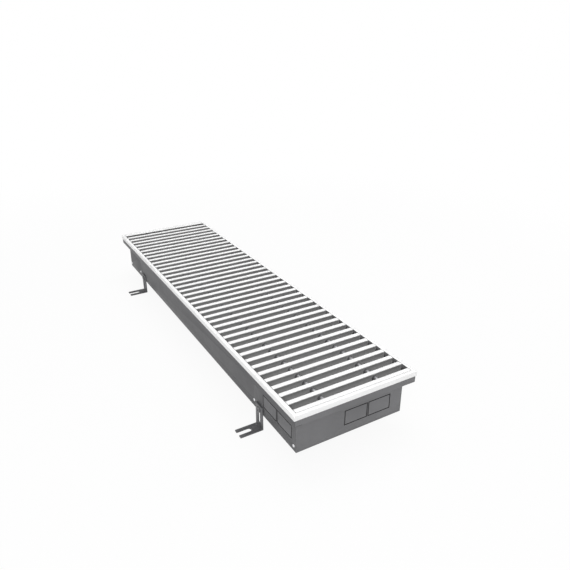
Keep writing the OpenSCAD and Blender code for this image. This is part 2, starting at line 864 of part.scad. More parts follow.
module exchanger_plate_far() {
    exchanger_plate(exchanger_y1 - plate_t);
}

// Two water tubes from end plate to end plate
module exchanger_tubes() {
    color("#b87333") difference() {
        for (x = tube_x) rod_y(x, exchanger_y0, tube_z, tube_d, exchanger_y1 - exchanger_y0);
        for (x = tube_x) {
            rod_y(x, exchanger_y0 - tube_t, tube_z, tube_d - 2 * tube_t,
                exchanger_y1 - exchanger_y0 + 2 * tube_t);
        }
    }
}

// The U bend that joins the tubes behind the far end plate
module return_bend() {
    color("#8a5a34") difference() {
        union() {
            for (x = tube_x) rod_y(x, exchanger_y1, tube_z, tube_d, bend_leg_l);
            translate([exchanger_x, exchanger_y1 + bend_leg_l, tube_z]) {
                rotate_extrude(angle = 180) translate([tube_spacing / 2, 0]) circle(d = tube_d);
            }
        }
        for (x = tube_x) {
            rod_y(x, exchanger_y1 - tube_t, tube_z, tube_d - 2 * tube_t, bend_leg_l);
        }
    }
}

// A connection neck that widens towards its socket
module pipe_neck(x) {
    translate([x, exchanger_y0, tube_z]) rotate([90, 0, 0]) {
        cylinder(h = neck_l, d = neck_d);
        translate([0, 0, neck_l - neck_cone_l]) {
            cylinder(h = neck_cone_l, d1 = neck_d, d2 = socket_corner_d * neck_end_share);
        }
    }
}

// The water way through a neck
module neck_bore(x) {
    rod_y(x, exchanger_y0 - neck_l - tube_t, tube_z, tube_d - 2 * tube_t, neck_l + 2 * tube_t);
}

// Left neck with its drain stub
module pipe_neck_left() {
    color("#58585a") difference() {
        union() {
            pipe_neck(tube_x[0]);
            translate([tube_x[0], exchanger_y0 - stub_reach, tube_z - neck_d / 2 - stub_l]) {
                cylinder(h = neck_d / 2 + stub_l, d = stub_d);
            }
        }
        neck_bore(tube_x[0]);
    }
}

// Right neck
module pipe_neck_right() {
    color("#58585a") difference() {
        pipe_neck(tube_x[1]);
        neck_bore(tube_x[1]);
    }
}

// A hexagonal socket with a round threaded bore
module pipe_socket(x) {
    y1 = exchanger_y0 - neck_l;
    color("#606062") difference() {
        translate([x, y1, tube_z]) rotate([90, 0, 0]) cylinder(h = socket_l, d = socket_corner_d, $fn = 6);
        rod_y(x, y1 - socket_l - tube_t, tube_z, socket_bore_d, socket_l + 2 * tube_t);
    }
}

module pipe_socket_left() {
    pipe_socket(tube_x[0]);
}

module pipe_socket_right() {
    pipe_socket(tube_x[1]);
}

// The vent's square block on its short stem, with the seat of the screw
module air_vent() {
    color("#e8e8e8") difference() {
        union() {
            rod_x(vent_block_x, vent_y, tube_z, vent_base_d, vent_stem_l + neck_d / 4);
            translate([vent_block_x - vent_block_l, vent_y, tube_z]) {
                rotate([45, 0, 0]) translate([0, -vent_block_w / 2, -vent_block_w / 2]) {
                    cube([vent_block_l, vent_block_w, vent_block_w]);
                }
            }
        }
        rod_y(tube_x[1], vent_y - neck_d, tube_z, neck_d, 2 * neck_d);
        rod_x(vent_block_x - 2 * vent_block_l, vent_y, tube_z, vent_screw_d / 2 + 2 * turn_fit,
            2 * vent_block_l);
    }
}

// The vent's screw with the small lever that opens it
module vent_key() {
    x1 = vent_block_x - vent_block_l;
    x0 = x1 - vent_screw_l;
    color("#dcdcdc") {
        rod_x(x0, vent_y, tube_z, vent_screw_d, vent_screw_l - turn_fit);
        rod_x(x0, vent_y, tube_z, vent_screw_d / 2, vent_screw_l + vent_block_l * vent_bore_share);
        translate([x0, vent_y, tube_z]) rotate([vent_lever_turn, 0, 0]) {
            translate([0, -vent_lever_t / 2, -vent_lever_l]) {
                cube([vent_lever_t, vent_lever_t, vent_lever_l]);
            }
        }
    }
}

// The carrier sheet under both fans, with a tongue under the terminal box
module fan_tray() {
    x0 = fan_x - fan_outlet_w + tray_margin;
    y0 = fan_near_y + fan_plate_y - tray_margin;
    y1 = fan_far_y + fan_bearing_y + fan_plate_t + tray_margin;
    color("#6a6a6c") {
        block(x0, fan_x + fan_outlet_w, y0, y1, floor_z, tray_z);
        block(x0, terminal_x1, terminal_y0, terminal_y0 + terminal_l, floor_z, tray_z);
    }
}

// Outline of a fan's end plate around its axis, round in front and square at the outlet
module fan_plate_outline() {
    circle(r = fan_r);
    translate([0, -fan_r]) square([fan_outlet_w, fan_r + fan_top_h - plate_corner_r]);
    translate([0, -fan_r]) square([fan_outlet_w - plate_corner_r, fan_r + fan_top_h]);
    translate([fan_outlet_w - plate_corner_r, fan_top_h - plate_corner_r]) circle(r = plate_corner_r);
}

// The end plate's outline with its round side cut down to the flat top
module fan_plate_trimmed() {
    intersection() {
        fan_plate_outline();
        polygon([[-2 * fan_r, -2 * fan_r], [2 * fan_r, -2 * fan_r], [2 * fan_r, fan_top_h],
            [0, fan_top_h], [-inlet_left_w, inlet_left_h], [-2 * fan_r, inlet_left_h]]);
    }
}

// A part of a fan drawn round the fan's axis
module at_fan_axis() {
    translate([fan_x, fan_z]) children();
}

// The curved white front shell with a bead along its upper edge
module fan_front_shell(y0) {
    in_r = front_shell_r - front_shell_t;
    color("#e4e6e8") along_y(y0 + fan_shell_y, fan_shell_l) at_fan_axis() {
        difference() {
            circle(r = front_shell_r);
            circle(r = in_r);
            polygon([[0, 0], [-inlet_left_w, inlet_left_h], [-inlet_left_w, 2 * fan_r],
                [2 * fan_r, 2 * fan_r], [2 * fan_r, -2 * fan_r], [0, -2 * fan_r]]);
        }
        rotate(180 - atan(inlet_left_h / inlet_left_w)) translate([(front_shell_r + in_r) / 2, 0]) {
            circle(r = bead_r);
        }
    }
}

// The dark rear shell: the top behind the inlet, the back down to the outlet, and the bottom
module fan_rear_shell(y0) {
    t = fan_plate_t / 2;
    w = fan_outlet_w - t;
    color("#4c4c4e") along_y(y0 + fan_shell_y, fan_shell_l) at_fan_axis() {
        translate([inlet_right_w, fan_top_h - t]) square([w - inlet_right_w, t]);
        translate([inlet_right_w, fan_top_h - seam_h]) square([t, seam_h]);
        translate([w - t, outlet_top_h]) square([t, fan_top_h - outlet_top_h]);
        translate([0, -front_shell_r]) square([w, t]);
    }
}

// The motor's end plate: the hole that the motor sits in, and a round step outside the white ring
module motor_plate(y0) {
    step_y = y0 + fan_plate_y - step_t;
    color("#cfd1d3") difference() {
        union() {
            along_y(y0 + fan_plate_y, fan_plate_t) at_fan_axis() fan_plate_trimmed();
            along_y(step_y, step_t) at_fan_axis() intersection() {
                circle(r = step_r);
                fan_plate_trimmed();
            }
        }
        rod_y(fan_x, y0, fan_z, disc_d + 2 * turn_fit, 2 * ring_depth);
        rod_y(fan_x, step_y - step_t, fan_z, ring_d + 2 * turn_fit, 2 * step_t);
    }
}

// The end plate that holds the shaft's bearing, with its locating pin
module bearing_plate(y0) {
    y = y0 + fan_bearing_y;
    color("#b4b6b8") difference() {
        union() {
            along_y(y, fan_plate_t) at_fan_axis() fan_plate_trimmed();
            rod_y(fan_x, y - boss_l, fan_z, boss_d, boss_l);
            rod_y(fan_x + pin_x, y, fan_z + pin_z, pin_d, fan_plate_t + pin_l);
        }
        rod_y(fan_x, y - 2 * boss_l, fan_z, shaft_d + 2 * turn_fit, 2 * boss_l + fan_plate_t / 2);
    }
}

// The motor: a can behind the end plate and a grey disc with a small hub in front
module fan_motor(y0) {
    disc_y = y0 + disc_recess;
    can_y = y0 + fan_shell_y;
    color("#68686a") difference() {
        union() {
            rod_y(fan_x, disc_y, fan_z, disc_d, can_y - disc_y);
            rod_y(fan_x, disc_y - hub_l, fan_z, hub_d, hub_l);
            rod_y(fan_x, can_y, fan_z, motor_d, motor_l);
        }
        rod_y(fan_x, can_y + motor_l - shaft_in, fan_z, shaft_d + 2 * turn_fit, 2 * shaft_in);
    }
}

// The white ring round the front of the motor, domed outwards
module cap_ring(y0) {
    r_in = disc_d / 2 + turn_fit;
    r_out = ring_d / 2;
    dome = (r_out - r_in) / 2;
    translate([fan_x, y0 + ring_depth, fan_z]) rotate([90, 0, 0]) {
        color("#f4f4f4") rotate_extrude() {
            translate([r_in, 0]) square([r_out - r_in, ring_depth - dome]);
            translate([r_in + dome, ring_depth - dome]) circle(r = dome);
        }
    }
}

// The bladed rotor between its discs
module impeller(y0) {
    y = y0 + impeller_y0;
    mid_r = impeller_r - blade_depth / 2;
    disc_gap = (impeller_l - impeller_disc_t) / (impeller_disc_count - 1);
    color("#3a3a3c") difference() {
        union() {
            for (i = [0 : impeller_disc_count - 1]) {
                rod_y(fan_x, y + i * disc_gap, fan_z, 2 * impeller_r, impeller_disc_t);
            }
            along_y(y, impeller_l) at_fan_axis() for (i = [0 : blade_count - 1]) {
                rotate(i * 360 / blade_count) translate([mid_r, 0]) rotate(blade_turn) {
                    square([blade_depth, blade_t], center = true);
                }
            }
        }
        rod_y(fan_x, y - impeller_disc_t, fan_z, shaft_d + turn_fit, impeller_l + 2 * impeller_disc_t);
    }
}

// The shaft from the motor through the impeller to the bearing
module fan_shaft(y0) {
    start = y0 + fan_shell_y + motor_l - shaft_in + turn_fit;
    end = y0 + fan_bearing_y + fan_plate_t / 4;
    color("#a8a8aa") rod_y(fan_x, start, fan_z, shaft_d, end - start);
}

module fan_front_shell_near() {
    fan_front_shell(fan_near_y);
}

module fan_front_shell_far() {
    fan_front_shell(fan_far_y);
}

module fan_rear_shell_near() {
    fan_rear_shell(fan_near_y);
}

module fan_rear_shell_far() {
    fan_rear_shell(fan_far_y);
}

module motor_plate_near() {
    motor_plate(fan_near_y);
}

module motor_plate_far() {
    motor_plate(fan_far_y);
}

module bearing_plate_near() {
    bearing_plate(fan_near_y);
}

module bearing_plate_far() {
    bearing_plate(fan_far_y);
}

module fan_motor_near() {
    fan_motor(fan_near_y);
}

module fan_motor_far() {
    fan_motor(fan_far_y);
}

module cap_ring_near() {
    cap_ring(fan_near_y);
}

module cap_ring_far() {
    cap_ring(fan_far_y);
}

module impeller_near() {
    impeller(fan_near_y);
}

module impeller_far() {
    impeller(fan_far_y);
}

module fan_shaft_near() {
    fan_shaft(fan_near_y);
}

module fan_shaft_far() {
    fan_shaft(fan_far_y);
}

// The plate that joins the two fans
module fan_bridge() {
    color("#a9a39c") difference() {
        block(bridge_x - bridge_w / 2, bridge_x + bridge_w / 2 - fan_plate_t, bridge_y0, bridge_y1,
            fan_top_z, fan_top_z + bridge_t);
        for (y = [bridge_y0 + screw_inset, bridge_y1 - screw_inset]) {
            translate([bridge_x, y, fan_top_z - bridge_t]) cylinder(h = 3 * bridge_t, d = screw_d);
        }
    }
}

// The two screws of the bridge
module bridge_screws() {
    color("#f0f0f0") for (y = [bridge_y0 + screw_inset, bridge_y1 - screw_inset]) {
        translate([bridge_x, y, fan_top_z]) cylinder(h = bridge_t, d = screw_d - 2 * turn_fit);
        translate([bridge_x, y, fan_top_z + bridge_t]) cylinder(h = screw_head_t, d = screw_head_d);
    }
}

// The light grey box beside the near motor
module terminal_box() {
    color("#8f8f91") {
        block(terminal_x0, terminal_x1, terminal_y0, terminal_y0 + terminal_l, tray_z, terminal_z1);
    }
}

// The lower part of the control box, with a dark band and a lip near its foot
module control_box_base() {
    x1 = control_x0 + control_w;
    z1 = floor_z + control_h - control_lid_h;
    band_z0 = floor_z + control_band_z;
    inset = control_band_inset;
    color("#a2a2a4") difference() {
        block(control_x0, x1, control_y0, control_y1, floor_z, z1);
        block(control_x0 + 2 * control_wall, x1 - 2 * control_wall, control_y0 + 2 * control_wall,
            control_y1 - 2 * control_wall, floor_z + control_wall, z1 + control_wall);
        difference() {
            block(control_x0 - inset, x1 + inset, control_y0 - inset, control_y1 + inset, band_z0,
                band_z0 + control_band_h);
            block(control_x0 + inset, x1 - inset, control_y0 + inset, control_y1 - inset, band_z0,
                band_z0 + control_band_h);
        }
    }
}

// The lid of the control box, with a rim that drops inside the base
module control_box_lid() {
    x1 = control_x0 + control_w;
    z0 = floor_z + control_h - control_lid_h;
    z1 = floor_z + control_h;
    in = 2 * control_wall + turn_fit;
    rim = in + control_wall / 2;
    color("#ababad") difference() {
        union() {
            block(control_x0, x1, control_y0, control_y1, z0, z1);
            block(control_x0 + in, x1 - in, control_y0 + in, control_y1 - in, z0 - control_wall, z0);
        }
        block(control_x0 + rim, x1 - rim, control_y0 + rim, control_y1 - rim, z0 - 2 * control_wall,
            z1 - control_wall);
    }
}

// A flat sheet from the origin along X and Y, with its grid of holes
module holed_sheet(w, l, columns, rows, margin) {
    pitch_x = (w - 2 * margin) / columns;
    pitch_y = (l - 2 * margin) / rows;
    difference() {
        square([w, l]);
        for (i = [0 : columns - 1], j = [0 : rows - 1]) {
            translate([margin + (i + (1 - guard_hole_share) / 2) * pitch_x,
                margin + (j + (1 - guard_hole_share) / 2) * pitch_y]) {
                square([guard_hole_share * pitch_x, guard_hole_share * pitch_y]);
            }
        }
    }
}

// A perforated guard: a flat top, a sloping lip in front and a flange at the back
module guard(y0) {
    flat_w = guard_x1 - guard_flat_x0;
    lip_l = guard_lip_w / cos(guard_slope) - guard_t;
    color("#9b9b9d") {
        translate([guard_flat_x0, y0, guard_z]) linear_extrude(height = guard_t) {
            holed_sheet(flat_w, guard_l, guard_columns, guard_rows, guard_margin);
        }
        translate([guard_flat_x0 + guard_t, y0, guard_z]) rotate([0, guard_slope, 180]) {
            translate([0, -guard_l, 0]) linear_extrude(height = guard_t) {
                holed_sheet(lip_l, guard_l, 1, guard_rows, guard_margin);
            }
        }
        translate([guard_x1, y0, guard_z + guard_t]) rotate([0, 90, 0]) mirror([0, 0, 1]) {
            linear_extrude(height = guard_t) {
                holed_sheet(guard_flange_h, guard_l, 1, guard_rows, guard_margin);
            }
        }
        for (y = [y0 + guard_foot_inset, y0 + guard_l - guard_foot_inset - guard_foot_w]) {
            block(fan_x + inlet_right_w, fan_x + inlet_right_w + 2 * guard_t, y, y + guard_foot_w,
                fan_top_z, guard_z);
        }
    }
}

module guard_near() {
    guard(guard_near_y0);
}

module guard_far() {
    guard(guard_far_y0);
}

trough_channel();
end_wall_near();
end_wall_far();
seat_rails();
damping_strips();
partition_near();
partition_far();
knockout_plates();
rivets();
wall_studs();
foot_bolts();
exchanger_brackets();
foot_near_left();
foot_near_right();
foot_far_left();
foot_far_right();
frame_left();
frame_right();
frame_near();
frame_far();
grille_bars();
grille_end_bars();
grille_spacers();
grille_rods();
fin_pack();
exchanger_plate_near();
exchanger_plate_far();
exchanger_tubes();
return_bend();
pipe_neck_left();
pipe_neck_right();
pipe_socket_left();
pipe_socket_right();
air_vent();
vent_key();
fan_tray();
fan_front_shell_near();
fan_front_shell_far();
fan_rear_shell_near();
fan_rear_shell_far();
motor_plate_near();
motor_plate_far();
bearing_plate_near();
bearing_plate_far();
fan_motor_near();
fan_motor_far();
cap_ring_near();
cap_ring_far();
impeller_near();
impeller_far();
fan_shaft_near();
fan_shaft_far();
fan_bridge();
bridge_screws();
terminal_box();
control_box_base();
control_box_lid();
guard_near();
guard_far();
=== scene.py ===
# %% [markdown]
# # A trench convector heater
# This heater lies in a channel in the floor. A long steel trough holds two fans and a finned
# water exchanger, and a grille of white cross bars closes it. The solids come from the CAD
# model in millimetres and are loaded here as a fixed frame. This lesson gives them their
# finishes and adds the pieces that sheet metal, castings and mouldings have and plain solids
# lack. Everything is in metres: X runs across the trough, Y along it, Z up from the ground.

# %% Load the solids
import json
import math

import bpy
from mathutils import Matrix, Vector


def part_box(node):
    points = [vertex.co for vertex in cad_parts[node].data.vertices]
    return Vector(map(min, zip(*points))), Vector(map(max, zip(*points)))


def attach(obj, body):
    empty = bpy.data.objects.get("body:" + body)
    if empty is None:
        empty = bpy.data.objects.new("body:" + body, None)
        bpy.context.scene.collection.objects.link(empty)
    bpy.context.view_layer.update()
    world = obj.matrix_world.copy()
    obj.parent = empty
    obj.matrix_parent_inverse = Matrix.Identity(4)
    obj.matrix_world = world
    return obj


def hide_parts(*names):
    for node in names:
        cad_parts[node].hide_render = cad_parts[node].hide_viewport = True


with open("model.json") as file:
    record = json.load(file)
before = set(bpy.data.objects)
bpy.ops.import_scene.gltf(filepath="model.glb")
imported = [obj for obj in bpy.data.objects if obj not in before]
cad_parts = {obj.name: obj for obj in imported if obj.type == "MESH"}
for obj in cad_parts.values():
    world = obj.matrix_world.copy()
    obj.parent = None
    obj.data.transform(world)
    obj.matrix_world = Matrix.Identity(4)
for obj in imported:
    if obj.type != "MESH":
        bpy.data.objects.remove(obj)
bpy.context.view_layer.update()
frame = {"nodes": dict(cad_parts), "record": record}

# %% [markdown]
# ## Camera
# The camera comes first, because every later choice is judged through it. The picture of the
# heater is taken from above its left front corner, with a rather short lens close by, so the
# near end looks much larger than the far one. The place and the two angles were worked out
# from the straight edges of the trough. The camera isn't rolled and its shift is zero.

# %% Make the camera
CAMERA_AT = (-0.5068, -1.1146, 0.6916)
CAMERA_TILT = math.radians(65.30)
CAMERA_TURN = math.radians(-30.33)
LENS_MM = 35.23
SENSOR_MM = 36.0

bpy.ops.object.select_all(action="DESELECT")
bpy.ops.object.camera_add(location=CAMERA_AT, rotation=(CAMERA_TILT, 0, CAMERA_TURN))
camera = bpy.context.object
camera.data.lens = LENS_MM
camera.data.sensor_width = SENSOR_MM
bpy.context.scene.camera = camera
bpy.context.scene.view_settings.view_transform = "Standard"
print("camera looks", math.degrees(CAMERA_TILT) - 90, "degrees from level")

# %% [markdown]
# ## Writing shaders as sums
# A finish is a small sum: a colour times some cloudiness, minus some wear. Drawn as nodes that
# is a web of Math boxes. Here one class wraps a node's socket, and Python's operators add the
# Math nodes, so that `1 - mask * 0.3` reads as it is written. Colours go through Mix nodes,
# because a Math node would turn them grey.

# %% Wrap a socket
class Wire:
    """A node's socket, or a whole node tree when it has no socket yet."""

    def __init__(self, tree, socket=None):
        self.tree = tree
        self.socket = socket

    def node(self, kind, settings=None, inputs=None, out=0):
        """Adds a node: first its settings, then the values or links of its sockets."""
        made = self.tree.nodes.new("ShaderNode" + kind)
        for key, value in (settings or {}).items():
            if key == "stops":
                for stop, (place, shade) in zip(made.color_ramp.elements, value):
                    stop.position = place
                    stop.color = shade
            else:
                setattr(made, key, value)
        for key, value in (inputs or {}).items():
            if isinstance(value, Wire):
                self.tree.links.new(value.socket, made.inputs[key])
            else:
                made.inputs[key].default_value = value
        return Wire(self.tree, made.outputs[out])

    def math(self, operation, *values):
        return self.node("Math", {"operation": operation}, dict(enumerate(values)))

    def __add__(self, other):
        return self.math("ADD", self, other)

    def __radd__(self, other):
        return self.math("ADD", other, self)

    def __sub__(self, other):
        return self.math("SUBTRACT", self, other)

    def __rsub__(self, other):
        return self.math("SUBTRACT", other, self)

    def __mul__(self, other):
        return self.math("MULTIPLY", self, other)

    def __rmul__(self, other):
        return self.math("MULTIPLY", other, self)

    def __abs__(self):
        return self.math("ABSOLUTE", self)

    def step(self, low, high):
        """0 below low, 1 above high, and a smooth rise between them."""
        return self.node("MapRange", {"interpolation_type": "SMOOTHSTEP"},
                         {"Value": self, "From Min": low, "From Max": high})

    def mix(self, first, second):
        """The first colour where this value is 0 and the second where it is 1."""
        return self.node("Mix", {"data_type": "RGBA"}, {0: self, 6: first, 7: second}, out=2)


print("operators:", [name for name in dir(Wire) if name.startswith("__r") and name[3] in "asm"])

# %% [markdown]
# ## Colours
# Colours are written as on a screen, from 0 to 255, and turned into the linear values that
# the shader works with. A helper gives lighter and darker versions of one colour.

# %% Turn screen colours into shader colours
def linear(channel):
    c = channel / 255
    return c / 12.92 if c <= 0.04045 else ((c + 0.055) / 1.055) ** 2.4


def shade(rgb, factor=1.0):
    """A screen colour as a linear colour with alpha, made lighter or darker by a factor."""
    return tuple(min(1.0, linear(c) * factor) for c in rgb) + (1.0,)


print("middle grey:", [round(c, 3) for c in shade((118, 118, 118))])

# %% [markdown]
# ## A surface recipe
# Nearly every part here is coated, moulded or rolled, and all such surfaces share four things:
# slow clouds in the colour, a fine grain that can be felt, patches that shine more where hands
# or tools have rubbed, and dust that settles. The recipe takes the sizes of these in metres.
# Noise reads the Object coordinates, so a pattern has its real size on every part. A direction
# can be stretched, as for brushed metal.

# %% The recipe
CLOUD_SIZE = 0.09
RUB_SIZE = 0.018


class Surface:
    """A new material whose colour, roughness and height are built up step by step."""

    def __init__(self, name, rgb, rough, metal=0.0):
        self.material = bpy.data.materials.new(name)
        self.material.use_nodes = True
        self.shader = self.material.node_tree.nodes["Principled BSDF"]
        self.shader.inputs["Metallic"].default_value = metal
        self.start = Wire(self.material.node_tree)
        self.place = self.start.node("TexCoord", out="Object")
        self.rgb = rgb
        self.colour = shade(rgb)
        self.rough = rough

    def stretched(self, factors):
        return self.start.node("VectorMath", {"operation": "MULTIPLY"}, {0: self.place, 1: factors})

    def noise(self, size, detail=3.0, stretch=None):
        where = self.stretched(stretch) if stretch else self.place
        return self.start.node("TexNoise", None, {"Vector": where, "Scale": 1 / size, "Detail": detail})

    def along(self, axis):
        return self.start.node("SeparateXYZ", None, {0: self.place}, out=axis)

    def tint(self, mask, rgb):
        """Lays another colour over the surface where the mask is 1."""
        self.colour = mask.mix(self.colour, shade(rgb))

    def clouds(self, spread, size=CLOUD_SIZE):
        """Slow changes of the colour, lighter and darker by the given share."""
        cloud = self.noise(size).step(0.3, 0.7)
        self.colour = cloud.mix(shade(self.rgb, 1 - spread), shade(self.rgb, 1 + spread))

    def rubbed(self, spread, size=RUB_SIZE):
        """Patches that shine more and less than the rest."""
        self.rough = self.rough - spread + self.noise(size, 5.0) * (2 * spread)

    def grain(self, size, depth, stretch=None):
        """A fine relief, in metres from its valleys to its peaks."""
        self.height = self.noise(size, 2.0, stretch)
        self.depth = depth

    def scratches(self, rgb, amount, stretch, size=0.004):
        """Thin bright or dark marks, drawn out along one direction."""
        line = self.noise(size, 4.0, stretch).step(0.70, 0.76)
        patch = self.noise(0.05, 2.0).step(0.45, 0.65)
        self.tint(line * patch * amount, rgb)

    def dust(self, amount, rgb=(150, 147, 140), size=0.0012):
        """Specks of dust."""
        speck = self.noise(size, 1.0).step(0.72, 0.80)
        self.tint(speck * amount, rgb)

    def done(self):
        """Links the colour, the roughness and the relief to the shader."""
        bump = self.start.node("Bump", None, {"Height": self.height, "Distance": self.depth,
                                              "Strength": 1.0})
        for name, value in (("Base Color", self.colour), ("Roughness", self.rough), ("Normal", bump)):
            self.material.node_tree.links.new(value.socket, self.shader.inputs[name])
        return self.material


finishes = {}
print("grain and clouds are measured in metres; clouds are", CLOUD_SIZE, "across")

# %% [markdown]
# ## Painted sheet
# The trough, its ends and the small plates in them are steel sheet with a dark powder coat.
# Powder melts into a skin with a fine orange peel. Handling leaves pale scuffs along the length
# of the sheet, and dust settles on it. The coat inside has another tone than the one outside,
# which a mask by height and distance from the middle gives, because one sheet carries both. The
# narrow slits round the blanks for the pipes and the cable lie in shade, and that shade is painted
# into the colour as a dark band over each slit: painted shade, masked by the distance from each
# blank's middle.

# %% Powder coats
PEEL_SIZE = 0.0011
PEEL_DEPTH = 0.00006
HAIR = 0.0001
INNER_HALF_WIDTH = 0.1145
INNER_HALF_LENGTH = 0.4814
INNER_FROM_Z = 0.0345
END_WALL_Y = -0.4790
SIDE_WALL_X = 0.1134
BLANK_Z = 0.068
BLANK_HALF_WIDTH = 0.025
SLIT = 0.0011
SLIT_BLUR = 2 * HAIR
SLIT_SHADE = (20, 20, 21)
SLIT_SHADE_MARGIN = 0.0005
END_BLANKS = ("X", (0.010, 0.062), 0.0155)
SIDE_BLANKS = ("Y", (-0.442, -0.390), 0.0135)


def in_box(across, up, half_width, half_height):
    """1 inside a rectangle round the middle, else 0."""
    inside = 1 - across.step(half_width - SLIT_BLUR, half_width + SLIT_BLUR)
    return inside * (1 - up.step(half_height - SLIT_BLUR, half_height + SLIT_BLUR))


def painted_slit_shade(coat, blanks, where):
    """Paints shade over the slits round the blanks of one wall, whose place is given as a mask."""
    axis, middles, half_height = blanks
    up = abs(coat.along("Z") - BLANK_Z)
    for middle in middles:
        across = abs(coat.along(axis) - middle)
        outer = in_box(across, up, BLANK_HALF_WIDTH + SLIT_SHADE_MARGIN, half_height + SLIT_SHADE_MARGIN)
        inset = SLIT + SLIT_SHADE_MARGIN
        plate = in_box(across, up, BLANK_HALF_WIDTH - inset, half_height - inset)
        # painted shade: a dark band over the slit round this blank
        coat.tint(outer * (1 - plate) * where, SLIT_SHADE)


def within(coat, axis, limit):
    """1 where a coordinate is closer to the middle than the limit, else 0."""
    return 1 - abs(coat.along(axis)).step(limit - HAIR, limit + HAIR)


def powder_coat(name, rgb, inner):
    coat = Surface(name, rgb, 0.52)
    coat.clouds(0.07)
    above_floor = coat.along("Z").step(INNER_FROM_Z, INNER_FROM_Z + 3 * HAIR)
    inside = within(coat, "X", INNER_HALF_WIDTH) * within(coat, "Y", INNER_HALF_LENGTH) * above_floor
    coat.tint(inside * 0.9, inner)
    near_wall = 1 - coat.along("Y").step(END_WALL_Y, END_WALL_Y + SLIT_BLUR)
    side_walls = abs(coat.along("X")).step(SIDE_WALL_X, SIDE_WALL_X + SLIT_BLUR)
    painted_slit_shade(coat, END_BLANKS, near_wall)
    painted_slit_shade(coat, SIDE_BLANKS, side_walls)
    coat.scratches((150, 150, 152), 0.25, (14.0, 1.0, 14.0))
    coat.dust(0.22)
    coat.rubbed(0.07)
    coat.grain(PEEL_SIZE, PEEL_DEPTH)
    return coat.done()


INNER_GREY = (97, 97, 99)
finishes["trough_paint"] = powder_coat("Paint_trough", (85, 85, 87), INNER_GREY)
finishes["end_paint"] = powder_coat("Paint_ends", (109, 109, 111), INNER_GREY)
print("painted:", list(finishes))

# %% [markdown]
# ## Small painted and plated parts
# The levelling feet are steel strip with a thin dark coat that is worn to the metal in small
# spots. Each upright is paler from about two centimetres above the ground. The clamp bolts have a
# like coat, worn more by the key that turns them. The rivets are bare aluminium, bright and
# slightly brushed. The hold-down studs are dark red plastic. Light alone makes them deeper on
# one side, so only soft clouds are needed.

# %% Feet, bolts, rivets and studs
UPRIGHT_FROM_Z = 0.005
UPRIGHT_TO_Z = 0.022


def worn_steel(name, rgb, bare, wear, rough=0.48, upright=None):
    """A thin coat over steel, with the share of its bare spots and a paler upright."""
    steel = Surface(name, rgb, rough)
    steel.clouds(0.12, 0.03)
    if upright:
        steel.tint(steel.along("Z").step(UPRIGHT_FROM_Z, UPRIGHT_TO_Z), upright)
    steel.tint(steel.noise(0.007, 6.0).step(0.60, 0.70) * wear, bare)
    steel.scratches(bare, 0.4, (1.0, 9.0, 9.0), 0.003)
    steel.rubbed(0.10, 0.008)
    steel.grain(0.0009, 0.00004)
    return steel.done()


def bare_metal(name, rgb, stretch, rough=0.32, depth=0.00002):
    metal = Surface(name, rgb, rough, metal=1.0)
    metal.clouds(0.06, 0.02)
    metal.rubbed(0.08, 0.004)
    metal.scratches((235, 235, 238), 0.3, stretch, 0.002)
    metal.grain(0.0005, depth, stretch)
    return metal.done()


def plain_plastic(name, rgb, rough, spread=0.05, grain=0.0006, depth=0.00002, dust=0.12):
    plastic = Surface(name, rgb, rough)
    plastic.clouds(spread, 0.05)
    plastic.dust(dust)
    plastic.rubbed(0.06, 0.012)
    plastic.grain(grain, depth)
    return plastic.done()


finishes["foot_steel"] = worn_steel("Steel_feet", (84, 84, 86), (150, 150, 152), 0.25,
                                    upright=(104, 104, 106))
finishes["bolt_dark"] = worn_steel("Steel_bolts", (104, 104, 106), (160, 160, 162), 0.4, 0.46)
finishes["rivet_metal"] = bare_metal("Rivets_aluminium", (226, 226, 228), (1.0, 6.0, 6.0))
finishes["stud_red"] = plain_plastic("Plastic_studs", (70, 20, 19), 0.42, 0.15)
print("finishes so far:", len(finishes))

# %% [markdown]
# ## Rubber
# A flat strip of black rubber lies on each ledge, so that the grille doesn't rattle. It is
# extruded, which leaves very fine lines along its length, and dust clings to it.

# %% Rubber strip
RUBBER_ROUGH = 0.78


def rubber(name, rgb):
    strip = Surface(name, rgb, RUBBER_ROUGH)
    strip.clouds(0.16, 0.05)
    strip.dust(0.35, (96, 94, 90), 0.0016)
    strip.rubbed(0.08, 0.006)
    strip.grain(0.0007, 0.00008)
    return strip.done()


finishes["strip_rubber"] = rubber("Rubber_strip", (27, 27, 29))
print("strip roughness varies round", RUBBER_ROUGH)

# %% [markdown]
# ## White aluminium
# The cover frame and the grille are drawn aluminium, coated white. A drawn bar has faint lines
# along it, so the grain is stretched: along X for the grille's bars, and along Y for the frame,
# whose long sides show it most. The shade between the grille's bars and behind the inner leg of
# the frame is painted into the colour as grey: painted shade, laid on by masks by place, since
# each profile is still one piece of metal. The white is kept just under full brightness, so that
# it doesn't clip. The spacers between the bars stay plain metal.

# %% White profiles
BAR_UNDER_Z = 0.1265
BAR_FOOT_Z = 0.1095
GRILLE_SIDE_X = 0.1215
GRILLE_END_Y = 0.4913
FRAME_INNER_X = 0.1232
FRAME_INNER_Y = 0.4932
FRAME_UNDER_Z = 0.1279
SHADED_WHITE = (214, 214, 214)
DARK_SHADE_WHITE = (146, 146, 146)
LEG_SHADE = (118, 118, 119)


def white_profile(name, stretch, lay_painted_shade):
    white = Surface(name, (250, 250, 250), 0.38)
    white.clouds(0.025, 0.07)
    lay_painted_shade(white)
    white.scratches((196, 196, 194), 0.35, stretch, 0.0018)
    white.dust(0.10, (170, 168, 162), 0.0010)
    white.rubbed(0.06)
    white.grain(0.0006, 0.000025, stretch)
    return white.done()


def shade_region(white, top_z, side_x, end_y):
    """1 under a height and inside two distances from the middle, else 0."""
    below = 1 - white.along("Z").step(top_z - HAIR, top_z + HAIR)
    return below * within(white, "X", side_x) * within(white, "Y", end_y)


